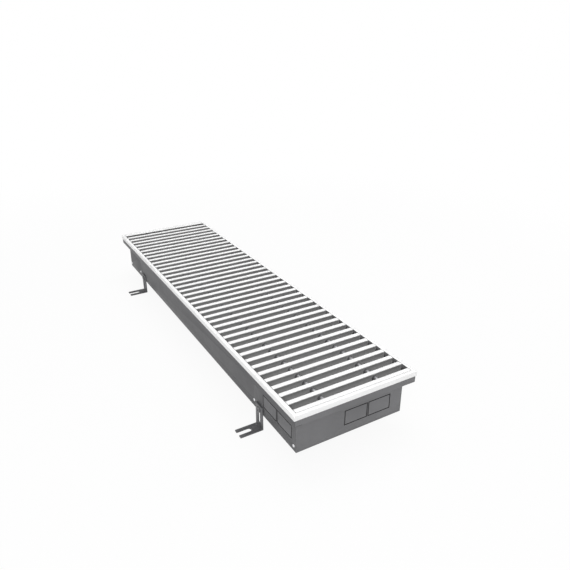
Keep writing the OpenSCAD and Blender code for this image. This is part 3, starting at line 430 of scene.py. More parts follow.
def painted_shade_between_bars(white):
    # painted shade under the tops of the bars, darkest just under the top
    in_shade = shade_region(white, BAR_UNDER_Z, GRILLE_SIDE_X, GRILLE_END_Y)
    white.tint(in_shade, SHADED_WHITE)
    near_top_shade = white.along("Z").step(BAR_FOOT_Z, BAR_UNDER_Z)
    white.tint(in_shade * near_top_shade, DARK_SHADE_WHITE)


def painted_shade_behind_leg(white):
    # painted shade on the inner face of the frame's leg
    white.tint(shade_region(white, FRAME_UNDER_Z, FRAME_INNER_X, FRAME_INNER_Y), LEG_SHADE)


ALONG_X = (0.08, 1.0, 1.0)
ALONG_Y = (1.0, 0.08, 1.0)
finishes["grille_white"] = white_profile("White_grille", ALONG_X, painted_shade_between_bars)
finishes["frame_white"] = white_profile("White_frame", ALONG_Y, painted_shade_behind_leg)
finishes["grille_metal"] = bare_metal("Aluminium_spacers", (150, 150, 152), ALONG_Y, 0.42)
print("white finishes:", [name for name in finishes if "white" in name])

# %% [markdown]
# ## The water side
# The fins are thin aluminium with a black coat, so they have almost no grain but catch light on
# their edges. The end plates and the cast brass fittings have a grey paint, rougher on the
# castings, where the sand's surface shows through. The shade deep in each socket's bore is
# painted into the colour as a dark disc round its axis: painted shade, masked by the distance
# from the axis. The tubes are copper that has darkened unevenly, and the vent is polished nickel.

# %% Fins, plates, castings, copper and nickel
def black_fin(name, rgb):
    fin = Surface(name, rgb, 0.46)
    fin.clouds(0.12, 0.06)
    fin.scratches((120, 120, 122), 0.18, (1.0, 6.0, 1.0), 0.003)
    fin.dust(0.18, (110, 108, 104), 0.0013)
    fin.rubbed(0.08, 0.01)
    fin.grain(0.0008, 0.00002)
    return fin.done()


BORE_SHADE_RADIUS = 0.0092
BORE_BLUR = 0.0002
BORE_SHADE = (58, 58, 60)


def painted_bore_shade(cast):
    """Paints shade into the inside of both sockets, round their axes."""
    for side in ("left", "right"):
        low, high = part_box("pipe_socket_" + side)
        across = cast.along("X") - (low.x + high.x) / 2
        up = cast.along("Z") - (low.z + high.z) / 2
        inner, outer = BORE_SHADE_RADIUS - BORE_BLUR, BORE_SHADE_RADIUS + BORE_BLUR
        near_axis = 1 - (across * across + up * up).step(inner ** 2, outer ** 2)
        in_socket = 1 - cast.along("Y").step(high.y, high.y + BORE_BLUR)
        # painted shade deep in the bore
        cast.tint(near_axis * in_socket, BORE_SHADE)


def casting(name, rgb, rough, depth, bores=False):
    cast = Surface(name, rgb, rough)
    cast.clouds(0.10, 0.012)
    cast.tint(cast.noise(0.004, 5.0).step(0.62, 0.72) * 0.22, (150, 150, 152))
    if bores:
        painted_bore_shade(cast)
    cast.rubbed(0.10, 0.005)
    cast.grain(0.0011, depth)
    return cast.done()


def darkened_copper(name, rgb, dark):
    copper = Surface(name, rgb, 0.34, metal=1.0)
    copper.clouds(0.10, 0.02)
    copper.tint(copper.noise(0.009, 5.0).step(0.45, 0.72) * 0.75, dark)
    copper.rubbed(0.12, 0.006)
    copper.grain(0.0006, 0.00002, ALONG_Y)
    return copper.done()


finishes["fin_black"] = black_fin("Coat_fins", (57, 57, 58))
finishes["plate_grey"] = casting("Paint_plates", (118, 118, 120), 0.50, 0.00003)
finishes["pipe_grey"] = casting("Paint_castings", (102, 102, 104), 0.46, 0.00012, bores=True)
finishes["copper"] = darkened_copper("Copper_tubes", (190, 116, 78), (96, 54, 38))
finishes["vent_silver"] = bare_metal("Nickel_vent", (236, 236, 238), (1.0, 5.0, 5.0), 0.16, 0.00001)
print("finishes so far:", len(finishes))

# %% [markdown]
# ## The fans
# Each fan has a white coated aluminium shell in front, a dark one behind, and light grey
# moulded end plates. The motor wears a glossy white ring. The rotor is black aluminium on a
# ground shaft. The tray, bridge and boxes are plain satin sheet and plastic. The base of the
# control box is paler than its lid, and painted shade shows as a thin dark line at the seam.

# %% Fan finishes
def coated_shell(name, rgb, stretch, rough=0.42):
    shell = Surface(name, rgb, rough)
    shell.clouds(0.03, 0.08)
    shell.scratches((178, 180, 182), 0.25, stretch, 0.0022)
    shell.dust(0.10)
    shell.rubbed(0.07, 0.02)
    shell.grain(0.0007, 0.00003, stretch)
    return shell.done()


finishes["shell_white"] = coated_shell("Coat_front_shell", (252, 252, 253), ALONG_Y)
finishes["shell_dark"] = coated_shell("Coat_rear_shell", (84, 84, 86), ALONG_Y, 0.5)
finishes["fan_plate_grey"] = plain_plastic("Plastic_end_plates", (222, 223, 225), 0.42)
finishes["motor_grey"] = worn_steel("Steel_motor", (100, 100, 101), (150, 150, 151), 0.15, 0.42)
finishes["ring_white"] = plain_plastic("Plastic_ring", (245, 245, 245), 0.20, 0.02, 0.002, dust=0.05)
finishes["blade_dark"] = coated_shell("Coat_blades", (62, 62, 64), ALONG_Y, 0.45)
finishes["shaft_steel"] = bare_metal("Steel_shaft", (196, 196, 198), (1.0, 8.0, 1.0), 0.24)
finishes["tray_grey"] = worn_steel("Steel_tray", (104, 104, 106), (160, 160, 162), 0.2, 0.45)
finishes["bridge_metal"] = bare_metal("Aluminium_bridge", (178, 174, 168), ALONG_Y, 0.42)
finishes["screw_bright"] = bare_metal("Steel_screws", (238, 238, 240), (1.0, 1.0, 4.0), 0.22)
finishes["box_grey"] = plain_plastic("Plastic_boxes", (158, 158, 160), 0.46, 0.05, 0.0008, 0.00004)


SEAM_SHADE_HALF = 0.0005
SEAM_SHADE_BLUR = 0.0003
SEAM_SHADE = (58, 58, 59)


def seam_shaded_plastic(name, rgb):
    box = Surface(name, rgb, 0.46)
    box.clouds(0.05, 0.05)
    from_seam = abs(box.along("Z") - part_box("control_box_base")[1].z)
    # painted shade: a thin dark band along the seam of lid and base
    box.tint(1 - from_seam.step(SEAM_SHADE_HALF, SEAM_SHADE_HALF + SEAM_SHADE_BLUR), SEAM_SHADE)
    box.dust(0.12)
    box.rubbed(0.06, 0.012)
    box.grain(0.0008, 0.00004)
    return box.done()


finishes["box_base"] = seam_shaded_plastic("Plastic_box_base", (192, 192, 194))
finishes["box_lid"] = seam_shaded_plastic("Plastic_box_lid", (160, 160, 162))
finishes["guard_grey"] = bare_metal("Aluminium_guards", (176, 176, 178), ALONG_Y, 0.40)
print("finishes:", len(finishes))

# %% [markdown]
# ## Dressing the solids
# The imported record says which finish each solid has. A solid whose shape is right keeps its
# mesh, and only its material is changed here. The two halves of the control box share one
# finish in the record but differ in tone, so each has a look of its own.

# %% Give every solid its finish
record = frame["record"]
finish_of = {part["node"]: part["material_slot"] for part in record["subparts"]}
OWN_LOOK = {"control_box_base": "box_base", "control_box_lid": "box_lid"}


def dress(piece, finish):
    piece.data.materials.clear()
    piece.data.materials.append(finishes[finish])


for node_name, solid in frame["nodes"].items():
    dress(solid, finish_of[node_name])
print("dressed solids:", len(frame["nodes"]))

# %% [markdown]
# ## Working on a mesh as by hand
# Every new piece is shaped with Blender's own operators. They act on what is selected, so each
# step starts by deselecting everything, and faces or corners are picked in code by where they
# are. A few short helpers cover most steps: select one piece alone or make a twin of it, open
# it in edit mode, pick some of it, finish it with a modifier, apply its place, and smooth it.

# %% Edit, pick and modify
def fresh():
    """Leaves edit mode and deselects everything."""
    if bpy.context.mode != "OBJECT":
        bpy.ops.object.mode_set(mode="OBJECT")
    bpy.ops.object.select_all(action="DESELECT")


def only(piece):
    """Selects one piece alone and makes it the active one."""
    fresh()
    piece.select_set(True)
    bpy.context.view_layer.objects.active = piece


def twin(piece):
    """A copy of a piece, with a mesh of its own."""
    only(piece)
    bpy.ops.object.duplicate()
    return bpy.context.object


def edit(piece, kind="VERT", everything=True):
    """Opens a piece in edit mode, with all of it or none of it selected."""
    only(piece)
    bpy.ops.object.mode_set(mode="EDIT")
    bpy.ops.mesh.select_mode(type=kind)
    bpy.ops.mesh.select_all(action="SELECT" if everything else "DESELECT")


def pick(piece, kind, wanted):
    """Selects the faces or corners whose middle is wanted, and stays in edit mode."""
    edit(piece, kind, everything=False)
    bpy.ops.object.mode_set(mode="OBJECT")
    mesh = piece.data
    parts = {"FACE": mesh.polygons, "VERT": mesh.vertices}[kind]
    for part in parts:
        corners = [part.index] if kind == "VERT" else part.vertices
        middle = sum((mesh.vertices[i].co for i in corners), Vector()) / len(corners)
        part.select = bool(wanted(middle))
    bpy.ops.object.mode_set(mode="EDIT")


def modify(piece, kind, **settings):
    """Adds a modifier and applies it."""
    only(piece)
    modifier = piece.modifiers.new(kind.title(), kind)
    for key, value in settings.items():
        setattr(modifier, key, value)
    bpy.ops.object.modifier_apply(modifier=modifier.name)


def settle(piece):
    """Puts the place, turn and scale of a piece into its mesh."""
    only(piece)
    bpy.ops.object.transform_apply(location=True, rotation=True, scale=True)


def smooth(piece, degrees=35):
    """Shades a piece smoothly, except over edges that are sharper than the angle."""
    only(piece)
    bpy.ops.object.shade_smooth_by_angle(angle=math.radians(degrees))


print("new pieces start from", bpy.context.mode, "mode")

# %% [markdown]
# ## Handing a piece over
# A finished piece is settled, named and dressed in the finish that its slot names, set under
# the empty of the body that it moves with, and the CAD solid that it stands for is hidden. The
# body and the slot are in the imported record, so most pieces need only their own name and that of
# their solid.

# %% Hand over a piece
MM = 0.001
body_of = {node: body for body, nodes in record["behaviour"]["bodies"].items() for node in nodes}


def hand_over(piece, name, body, finish, *stands_for):
    """Names a finished piece, dresses it in its slot's finish, sets it in its body, and hides its
    solids.
    """
    settle(piece)
    piece.name = name
    own = [OWN_LOOK[node] for node in stands_for if node in OWN_LOOK]
    dress(piece, own[0] if own else finish)
    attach(piece, body)
    if stands_for:
        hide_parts(*stands_for)


def stand_in(piece, name, node):
    """Hands over a piece with the body and the finish of the one solid that it stands for."""
    hand_over(piece, name, body_of[node], finish_of[node], node)


def box_mm(node):
    """The lowest and the highest corner of a CAD node, in millimetres."""
    return [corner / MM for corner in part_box(node)]


def size_mm(piece):
    """What a piece measures along X, Y and Z, in millimetres."""
    return [round(side / MM, 2) for side in piece.dimensions]


print("bodies:", sorted(set(body_of.values())), "and one millimetre here is", MM)

# %% [markdown]
# ## Softened edges
# A CAD solid has edges as sharp as a razor, and no real edge is: sheet has a radius where it is
# bent and a small burr where it is cut, and mouldings have at least a few tenths. Light catches
# these. The shape could be built again by hand, but where it is right a copy is enough. A CAD
# mesh is loose triangles, so the copy is merged, its flat areas become single faces again, and
# a bevel runs round every edge. The bevel keeps the flat faces' shading flat.

# %% Copy a solid with softened edges
MERGE_WITHIN = 0.000002
FLAT_WITHIN = math.radians(0.4)
EDGE_FROM = math.radians(30)


def softened(node, radius):
    """A copy of a solid whose sharp edges have a small radius."""
    copy = bpy.data.objects.new(node + "_soft", frame["nodes"][node].data.copy())
    bpy.context.scene.collection.objects.link(copy)
    edit(copy)
    bpy.ops.mesh.remove_doubles(threshold=MERGE_WITHIN)
    bpy.ops.mesh.dissolve_limited(angle_limit=FLAT_WITHIN)
    only(copy)
    bpy.ops.object.shade_smooth()
    modify(copy, "BEVEL", width=radius, segments=2, limit_method="ANGLE", angle_limit=EDGE_FROM,
           harden_normals=True, use_clamp_overlap=True)
    return copy


print("edges sharper than", round(math.degrees(EDGE_FROM)), "degrees are softened")

# %% Soften the solids that keep their shape, by radii in millimetres
SOFT_EDGES = {
    "trough_channel": 0.45, "end_wall_near": 0.45, "end_wall_far": 0.45, "partition_near": 0.3,
    "partition_far": 0.3, "seat_rails": 0.3, "damping_strips": 0.5, "knockout_plates": 0.2,
    "exchanger_brackets": 0.5, "exchanger_plate_near": 0.3, "exchanger_plate_far": 0.3,
    "foot_near_left": 0.5, "foot_near_right": 0.5, "foot_far_left": 0.5, "foot_far_right": 0.5,
    "fan_tray": 0.3, "fan_bridge": 0.25, "terminal_box": 1.8, "control_box_base": 0.4,
    "motor_plate_near": 0.5, "motor_plate_far": 0.5, "bearing_plate_near": 0.5,
    "bearing_plate_far": 0.5, "fan_rear_shell_near": 0.2, "fan_rear_shell_far": 0.2,
    "air_vent": 0.5, "vent_key": 0.25, "grille_spacers": 0.4, "exchanger_tubes": 0.2,
    "return_bend": 0.3, "pipe_neck_left": 0.5, "pipe_neck_right": 0.5, "fan_shaft_near": 0.3,
    "fan_shaft_far": 0.3, "guard_near": 0.12, "guard_far": 0.12}

for node_name, radius in SOFT_EDGES.items():
    soft = softened(node_name, radius * MM)
    stand_in(soft, "Soft_" + node_name, node_name)
    print(node_name, len(soft.data.polygons), "faces")

# %% [markdown]
# ## Outlines and turned shapes
# Two kinds of shape come up again and again here. A drawn or folded profile is an outline that
# is pulled out along its length: the outline is drawn corner by corner, its corners are rounded
# by a bevel, and the face is extruded. A turned part is a stack of rings: a circle is extruded
# along its axis and resized at each step, as on a lathe.

# %% Draw an outline and pull it out
def mm(*values):
    """A point or a move whose numbers are in millimetres."""
    return tuple(v * MM for v in values)


def face_outwards():
    """Turns all the faces of the mesh that is being edited outwards."""
    bpy.ops.mesh.select_all(action="SELECT")
    bpy.ops.mesh.normals_make_consistent(inside=False)


def traced(points):
    """A flat face with the given corners."""
    fresh()
    bpy.ops.mesh.primitive_plane_add(size=MM, location=points[0])
    piece = bpy.context.object
    edit(piece)
    bpy.ops.mesh.merge(type="CENTER")
    for here, there in zip(points, points[1:]):
        move = Vector(there) - Vector(here)
        bpy.ops.mesh.extrude_region_move(TRANSFORM_OT_translate={"value": move})
    bpy.ops.mesh.select_all(action="SELECT")
    bpy.ops.mesh.edge_face_add()
    return piece


def pulled(points, radius, length):
    """An outline with rounded corners, pulled out along the given vector."""
    piece = traced(points)
    if radius:
        bpy.ops.mesh.bevel(offset=radius * MM, segments=2, affect="VERTICES")
        bpy.ops.mesh.select_all(action="SELECT")
    bpy.ops.mesh.extrude_region_move(TRANSFORM_OT_translate={"value": length})
    face_outwards()
    settle(piece)
    return piece


print("a point of 10, 20, 30 mm is", mm(10, 20, 30))

# %% Turn a stack of rings
TURNS = {"Z": (0, 0, 0), "-Z": (math.radians(180), 0, 0), "Y": (math.radians(-90), 0, 0),
         "X": (0, math.radians(90), 0), "-X": (0, math.radians(-90), 0)}


def turned(rings, at, axis="Z", sides=48, hollow=False, twist=0.0):
    """A stack of rings, each a radius and a height in millimetres, that stands at a point.

    It is closed by flat ends, or with hollow, by a wall from its last ring to its first one."""
    fresh()
    radius, height = rings[0]
    bpy.ops.mesh.primitive_circle_add(vertices=sides, radius=radius * MM, location=(0, 0, 0))
    piece = bpy.context.object
    edit(piece)
    bpy.ops.transform.translate(value=(0, 0, height * MM))
    for wide, high in rings[1:]:
        bpy.ops.mesh.extrude_region_move(TRANSFORM_OT_translate={"value": (0, 0, (high - height) * MM)})
        bpy.ops.transform.resize(value=(wide / radius, wide / radius, 1))
        radius, height = wide, high
    if hollow:
        bpy.ops.mesh.select_mode(type="EDGE")
        bpy.ops.mesh.select_all(action="DESELECT")
        bpy.ops.mesh.select_non_manifold()
        bpy.ops.mesh.bridge_edge_loops()
    else:
        bpy.ops.mesh.select_all(action="SELECT")
        bpy.ops.mesh.fill_holes(sides=0)
    face_outwards()
    fresh()
    piece.rotation_euler = (0, 0, math.radians(twist))
    settle(piece)
    piece.rotation_euler = TURNS[axis]
    piece.location = at
    settle(piece)
    return piece


print("axes to turn on:", list(TURNS))

# %% [markdown]
# ## Copies
# What repeats on the heater is modelled once. A copy gets a mesh of its own and is moved, and
# the move is applied, so that its place is in its mesh, as a CAD node's is. Copies that belong
# to one piece are joined. A negative scale turns a shape inside out, so a mirrored copy has its
# faces turned outwards again.

# %% Join, copy and mirror
def joined(pieces):
    """Several pieces as one, which keeps the first one's name."""
    fresh()
    for one in pieces:
        one.select_set(True)
    bpy.context.view_layer.objects.active = pieces[0]
    bpy.ops.object.join()
    return pieces[0]


def copied(piece, moves):
    """Copies of a piece, each with its own mesh, joined with it into one."""
    copies = [piece]
    for move in moves:
        one = twin(piece)
        one.location = move
        settle(one)
        copies.append(one)
    return joined(copies)


def mirrored(piece, axis):
    """A copy on the other side of the middle, with its faces turned outwards again."""
    other = twin(piece)
    other.scale[axis] = -1
    settle(other)
    edit(other)
    face_outwards()
    fresh()
    return other


# %% [markdown]
# ## Grille bars
# The cross bars are drawn aluminium: a flat top to walk on, an upright web almost under its near
# edge, and a bead at its foot that rests on the rubber. A drawn profile has small radii
# everywhere, which the die needs. One bar is drawn, pulled out across the trough and copied at
# the pitch of the CAD bars. The end bars have a full face to close the grille.

# %% Draw the bars
BAR_TOP_HALF = 4.5
BAR_TOP_THICK = 1.6
WEB_SHIFT = -1.95
WEB_HALF = 2.25
BEAD_HALF = 4.0
BEAD_THICK = 2.0
BAR_COUNT = 40
END_FACE_THICK = 3.5
PROFILE_RADIUS = 0.25

grille_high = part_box("grille_end_bars")[1]
bars_low, bars_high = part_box("grille_bars")
top_z, foot_z = bars_high.z / MM, bars_low.z / MM
half_span = grille_high.y / MM
grille_half_width = grille_high.x / MM
pitch = (2 * half_span - 2 * BAR_TOP_HALF) / (BAR_COUNT - 1)
first_bar = BAR_TOP_HALF - half_span + pitch


def bar_outline(middle):
    """Corners of a bar's section at the left end, in metres."""
    web_left, web_right = middle + WEB_SHIFT - WEB_HALF, middle + WEB_SHIFT + WEB_HALF
    bead_left, bead_right = middle + WEB_SHIFT - BEAD_HALF, middle + WEB_SHIFT + BEAD_HALF
    under, bead_top = top_z - BAR_TOP_THICK, foot_z + BEAD_THICK
    corners = [(middle - BAR_TOP_HALF, top_z), (middle + BAR_TOP_HALF, top_z),
               (middle + BAR_TOP_HALF, under), (web_right, under), (web_right, bead_top),
               (bead_right, bead_top), (bead_right, foot_z), (bead_left, foot_z),
               (bead_left, bead_top), (web_left, bead_top), (web_left, under),
               (middle - BAR_TOP_HALF, under)]
    return [mm(-grille_half_width, y, z) for y, z in corners]


bar = pulled(bar_outline(first_bar), PROFILE_RADIUS, mm(2 * grille_half_width, 0, 0))
bars = copied(bar, [mm(0, i * pitch, 0) for i in range(1, BAR_COUNT - 2)])
smooth(bars)
hand_over(bars, "Grille_cross_bars", "grille", "grille_white", "grille_bars")
print("bars:", BAR_COUNT - 2, "faces:", len(bars.data.polygons))

# %% [markdown]
# ## End bars
# An end bar is a plain angle with the same top. The flat heads of the tie rods are let into its
# face, so a round seat is cut for each with a Boolean modifier: a short turned disc is taken
# away from the bar.

# %% Draw the end bars with the seats of the rod heads
ROD_X = 58.5
SEAT_RADIUS = 7.3
SEAT_DEPTH = 1.5
rod_z = (top_z + foot_z) / 2
inner_y, face_y = 2 * BAR_TOP_HALF - half_span, -half_span
end_corners = [(face_y, top_z), (inner_y, top_z), (inner_y, top_z - BAR_TOP_THICK),
               (face_y + END_FACE_THICK, top_z - BAR_TOP_THICK), (face_y + END_FACE_THICK, foot_z),
               (face_y, foot_z)]


def cut(piece, tool, operation="DIFFERENCE"):
    """Takes the tool's shape away from a piece, or keeps only what lies in both."""
    modify(piece, "BOOLEAN", operation=operation, object=tool, solver="EXACT")
    bpy.data.objects.remove(tool)


end_bar = pulled([mm(-grille_half_width, y, z) for y, z in end_corners], PROFILE_RADIUS,
                 mm(2 * grille_half_width, 0, 0))
for x in (-ROD_X, ROD_X):
    cut(end_bar, turned([(SEAT_RADIUS, -SEAT_DEPTH), (SEAT_RADIUS, SEAT_DEPTH)],
                        mm(x, face_y, rod_z), "Y"))
end_bars = joined([end_bar, mirrored(end_bar, 1)])
smooth(end_bars)
hand_over(end_bars, "Grille_end_faces", "grille", "grille_white", "grille_end_bars")
print("end bar faces:", len(end_bars.data.polygons))

# %% [markdown]
# ## Tie rods
# Two rods run through all the bars. Each has a flat head at both ends, let into the end bar with
# a thin gap round it, which shows as a fine circle on the grille's end face. A head has a small
# chamfer. The rod is turned as one piece with both heads, and has the grille's white coat.

# %% Turn the rods
HEAD_RADIUS = 6.3
HEAD_CHAMFER = 0.4
ROD_RADIUS = 3.0
rod_rings = [(HEAD_RADIUS - HEAD_CHAMFER, -half_span), (HEAD_RADIUS, HEAD_CHAMFER - half_span),
             (HEAD_RADIUS, SEAT_DEPTH - half_span), (ROD_RADIUS, SEAT_DEPTH - half_span),
             (ROD_RADIUS, half_span - SEAT_DEPTH), (HEAD_RADIUS, half_span - SEAT_DEPTH),
             (HEAD_RADIUS, half_span - HEAD_CHAMFER), (HEAD_RADIUS - HEAD_CHAMFER, half_span)]
rod = turned(rod_rings, mm(-ROD_X, 0, rod_z), "Y")
rods = copied(rod, [mm(2 * ROD_X, 0, 0)])
smooth(rods)
hand_over(rods, "Grille_tie_rods", "grille", "grille_white", "grille_rods")
print("rods:", len(rods.data.polygons), "faces")

# %% [markdown]
# ## Cover frame
# Four lengths of an upturned U cap the rim of the trough. They are sawn at 45 degrees and meet
# in fine mitre lines. One side bar and one end bar are pulled out past the corner, cut by a
# slanting plane, and mirrored.

# %% Draw and mitre the frame
FRAME_TOP = 7.0
FRAME_SHEET = 1.2
FRAME_LEG = 10.0
FRAME_RADIUS = 0.35
MITRE_GAP = 0.06
frame_x, frame_y, frame_z = box_mm("frame_right")[1]
rim_z = frame_z - FRAME_SHEET


def frame_outline(out):
    """Corners of the frame's section, as a distance from the middle and a height."""
    leg_z = frame_z - FRAME_LEG
    return [(out, frame_z), (out, leg_z), (out - FRAME_SHEET, leg_z), (out - FRAME_SHEET, rim_z),
            (out - FRAME_TOP + FRAME_SHEET, rim_z), (out - FRAME_TOP + FRAME_SHEET, leg_z),
            (out - FRAME_TOP, leg_z), (out - FRAME_TOP, frame_z)]


def mitred(piece, normals):
    """Cuts a bar at the frame's corners, and throws away what lies on the normals' side."""
    for normal, corner in normals:
        edit(piece)
        bpy.ops.mesh.bisect(plane_co=corner, plane_no=normal, use_fill=True, clear_outer=True)
    edit(piece)
    face_outwards()
    smooth(piece)


side_section = [mm(x, -frame_y, z) for x, z in frame_outline(frame_x)]
end_section = [mm(-frame_x, y, z) for y, z in frame_outline(frame_y)]
inset = MITRE_GAP / 2
side_bar = pulled(side_section, FRAME_RADIUS, mm(0, 2 * frame_y, 0))
mitred(side_bar, [((-1, 1, 0), mm(frame_x + inset, frame_y - inset, 0)),
                  ((-1, -1, 0), mm(frame_x + inset, inset - frame_y, 0))])
left_bar = mirrored(side_bar, 0)
end_piece = pulled(end_section, FRAME_RADIUS, mm(2 * frame_x, 0, 0))
mitred(end_piece, [((1, -1, 0), mm(frame_x - inset, frame_y + inset, 0)),
                   ((-1, -1, 0), mm(inset - frame_x, frame_y + inset, 0))])
near_piece = mirrored(end_piece, 1)
for piece, name in ((side_bar, "right"), (left_bar, "left"), (end_piece, "far"), (near_piece, "near")):
    hand_over(piece, "Cover_frame_" + name, "cover_frame", "frame_white", "frame_" + name)
    print("frame", name, size_mm(piece))

# %% [markdown]
# ## Fins
# Seventy-five thin fins sit side by side on the two water tubes. Each is pressed with a narrow
# flange all round that keeps its distance to the next one, so the block looks almost closed,
# with a fine groove between one fin and the next. One fin is drawn, its rim is folded over and
# the sheet gets its thickness, and then it is copied along the tubes.

# %% Press one fin and copy it
FIN_COUNT = 75
FIN_CORNER = 8.0
FIN_FLANGE = 5.2
FIN_SHEET = 0.5
FIN_SPARE = 0.6
NEAR_ENOUGH = 0.05
fin_low, fin_high = box_mm("fin_pack")
plate_near_high = box_mm("exchanger_plate_near")[1]
plate_far_low = box_mm("exchanger_plate_far")[0]
fin_pitch = (plate_far_low.y - plate_near_high.y - FIN_SPARE) / (FIN_COUNT + 1)
fin_y = plate_near_high.y + fin_pitch
corners = [(fin_low.x, fin_low.z), (fin_high.x, fin_low.z),
           (fin_high.x, fin_high.z), (fin_low.x, fin_high.z)]
fin = traced([mm(x, fin_y + FIN_SPARE, z) for x, z in corners])
settle(fin)
pick(fin, "VERT", lambda middle: middle.z > (fin_low.z + fin_high.z) / 2 * MM)
bpy.ops.mesh.bevel(offset=FIN_CORNER * MM, segments=5, affect="VERTICES")
bpy.ops.mesh.select_all(action="SELECT")
bpy.ops.mesh.extrude_region_move(TRANSFORM_OT_translate={"value": mm(0, -FIN_FLANGE, 0)})
face_outwards()
pick(fin, "FACE", lambda middle: middle.y < (fin_y + FIN_SPARE - FIN_FLANGE + NEAR_ENOUGH) * MM)
bpy.ops.mesh.delete(type="FACE")
modify(fin, "SOLIDIFY", thickness=FIN_SHEET * MM, offset=-1)
fins = copied(fin, [mm(0, i * fin_pitch, 0) for i in range(1, FIN_COUNT)])
smooth(fins, 40)
hand_over(fins, "Fin_block", "exchanger", "fin_black", "fin_pack")
print("fins:", FIN_COUNT, "pitch", round(fin_pitch, 2), "faces", len(fins.data.polygons))

# %% [markdown]
# ## Many small parts in one solid
# The rivets, bolts, studs and screws are each one CAD node with many separate solids. The new
# small parts have to stand exactly where those are, so the places are read from the mesh: corners
# that an edge joins belong to one solid, and each solid gives a box. One part is modelled, and a
# copy is set at each place.

# %% Find the separate solids of a node
def separate_solids(node):
    """The low and the high corner, in millimetres, of each separate solid of a CAD node."""
    mesh = frame["nodes"][node].data
    owner = list(range(len(mesh.vertices)))

    def root(i):
        while owner[i] != i:
            owner[i] = owner[owner[i]]
            i = owner[i]
        return i

    first_at = {}
    for vertex in mesh.vertices:
        place = tuple(round(value, 6) for value in vertex.co)
        owner[root(vertex.index)] = root(first_at.setdefault(place, vertex.index))
    for edge in mesh.edges:
        owner[root(edge.vertices[0])] = root(edge.vertices[1])
    solids = {}
    for vertex in mesh.vertices:
        solids.setdefault(root(vertex.index), []).append(vertex.co / MM)
    return [(Vector(min(c) for c in zip(*corners)), Vector(max(c) for c in zip(*corners)))
            for corners in solids.values()]


def placed(pattern, places):
    """Copies of a part that was modelled at the origin, as one piece. Each place has a turn."""
    copies = []
    for at, turn in places:
        one = twin(pattern)
        one.location = at
        one.rotation_euler = TURNS[turn]
        settle(one)
        copies.append(one)
    bpy.data.objects.remove(pattern)
    return joined(copies)


def set_in_place(pattern, name, node, where):
    """Sets a part at each solid of a node, by a function of the solid's corners and middle."""
    places = [where(low, high, (low + high) / 2) for low, high in separate_solids(node)]
    piece = placed(pattern, places)
    smooth(piece)
    stand_in(piece, name, node)
    print(name, "has", len(places), "parts")


def on_wall(low, high, middle, head):
    """The foot of a head that stands out from a side wall, and the way that it faces."""
    if middle.x > 0:
        return mm(high.x - head, middle.y, middle.z), "X"
    return mm(low.x + head, middle.y, middle.z), "-X"


def boxed(low, high, radius, segments=3):
    """A block between two corners, in millimetres, with rounded edges."""
    fresh()
    low, high = Vector(low), Vector(high)
    bpy.ops.mesh.primitive_cube_add(size=MM, location=(low + high) / 2 * MM, scale=high - low)
    piece = bpy.context.object
    settle(piece)
    if radius:
        modify(piece, "BEVEL", width=radius * MM, segments=segments, harden_normals=True)
    return piece


ORIGIN = (0, 0, 0)
print("solids among the rivets:", len(separate_solids("rivets")))

# %% [markdown]
# ## Rivets
# Blind rivets hold the ends and the partitions in the trough. The head is a low dome with a
# small pit where the mandrel broke off. The tail on the other side is a bulge. The whole rivet
# is turned in one stack of rings.

# %% Turn the rivets
HEAD_HEIGHT = 1.0
RIVET = [(0.6, 0.4), (0.75, 0.9), (1.3, HEAD_HEIGHT), (2.1, 0.82), (2.7, 0.48), (3.0, 0.0),
         (1.55, 0.0), (1.55, -2.4), (2.3, -2.4), (2.4, -2.9), (1.6, -3.4)]


def rivet_place(low, high, middle):
    """A rivet sits in the floor or in a side wall, with its head outside."""
    if high.x - low.x > high.z - low.z:
        return mm(middle.x, middle.y, low.z + HEAD_HEIGHT), "-Z"
    return on_wall(low, high, middle, HEAD_HEIGHT)


set_in_place(turned(RIVET, ORIGIN, sides=24), "Blind_rivets", "rivets", rivet_place)

# %% [markdown]
# ## Clamp bolts
# A socket-head bolt with a low round head clamps each foot, with a hexagon nut inside the wall.
# The key recess is a six-sided hole. The nut is a six-sided bar whose corners are turned off,
# which is done by keeping only what lies inside a chamfered disc.

# %% Model the bolts and nuts
BOLT_HEAD = 2.5
BOLT = [(5.5, BOLT_HEAD), (6.0, 2.1), (6.0, 0.25), (5.8, 0.0), (2.95, 0.0), (2.95, -7.9), (2.5, -8.3)]
KEY_HOLE = [(2.3, 0.9), (2.3, 3.0)]
NUT_LOW, NUT_HIGH = -7.7, -4.3
NUT_CORNER, NUT_BORE = 6.0, 3.0
NUT_DISC = [(5.2, NUT_LOW - 0.01), (6.1, NUT_LOW + 0.5), (6.1, NUT_HIGH + 0.1)]
bolt = turned(BOLT, ORIGIN)
cut(bolt, turned(KEY_HOLE, ORIGIN, sides=6))
nut = turned([(NUT_CORNER, NUT_LOW), (NUT_CORNER, NUT_HIGH)], ORIGIN, sides=6)
cut(nut, turned(NUT_DISC, ORIGIN), "INTERSECT")
cut(nut, turned([(NUT_BORE, NUT_LOW - 1), (NUT_BORE, NUT_HIGH + 1)], ORIGIN))
set_in_place(joined([bolt, nut]), "Clamp_bolts", "foot_bolts",
             lambda low, high, middle: on_wall(low, high, middle, BOLT_HEAD))

# %% [markdown]
# ## Studs and bridge screws
# The hold-down studs are dark red: a disc against the wall with a round-ended pin. The bridge
# between the fans has two pan-head screws with a cross recess, cut by two thin blocks.

# %% Turn the studs
STUD = [(5.7, 0.0), (6.0, 0.3), (6.0, 1.6), (5.6, 2.0), (2.8, 2.0), (2.5, 2.4), (2.5, 9.2), (1.8, 10.0)]


def stud_place(low, high, middle):
    """A stud stands on the inner face of a side wall."""
    if middle.x > 0:
        return mm(high.x, middle.y, middle.z), "-X"
    return mm(low.x, middle.y, middle.z), "X"


set_in_place(turned(STUD, ORIGIN, sides=32), "Hold_down_studs", "wall_studs", stud_place)

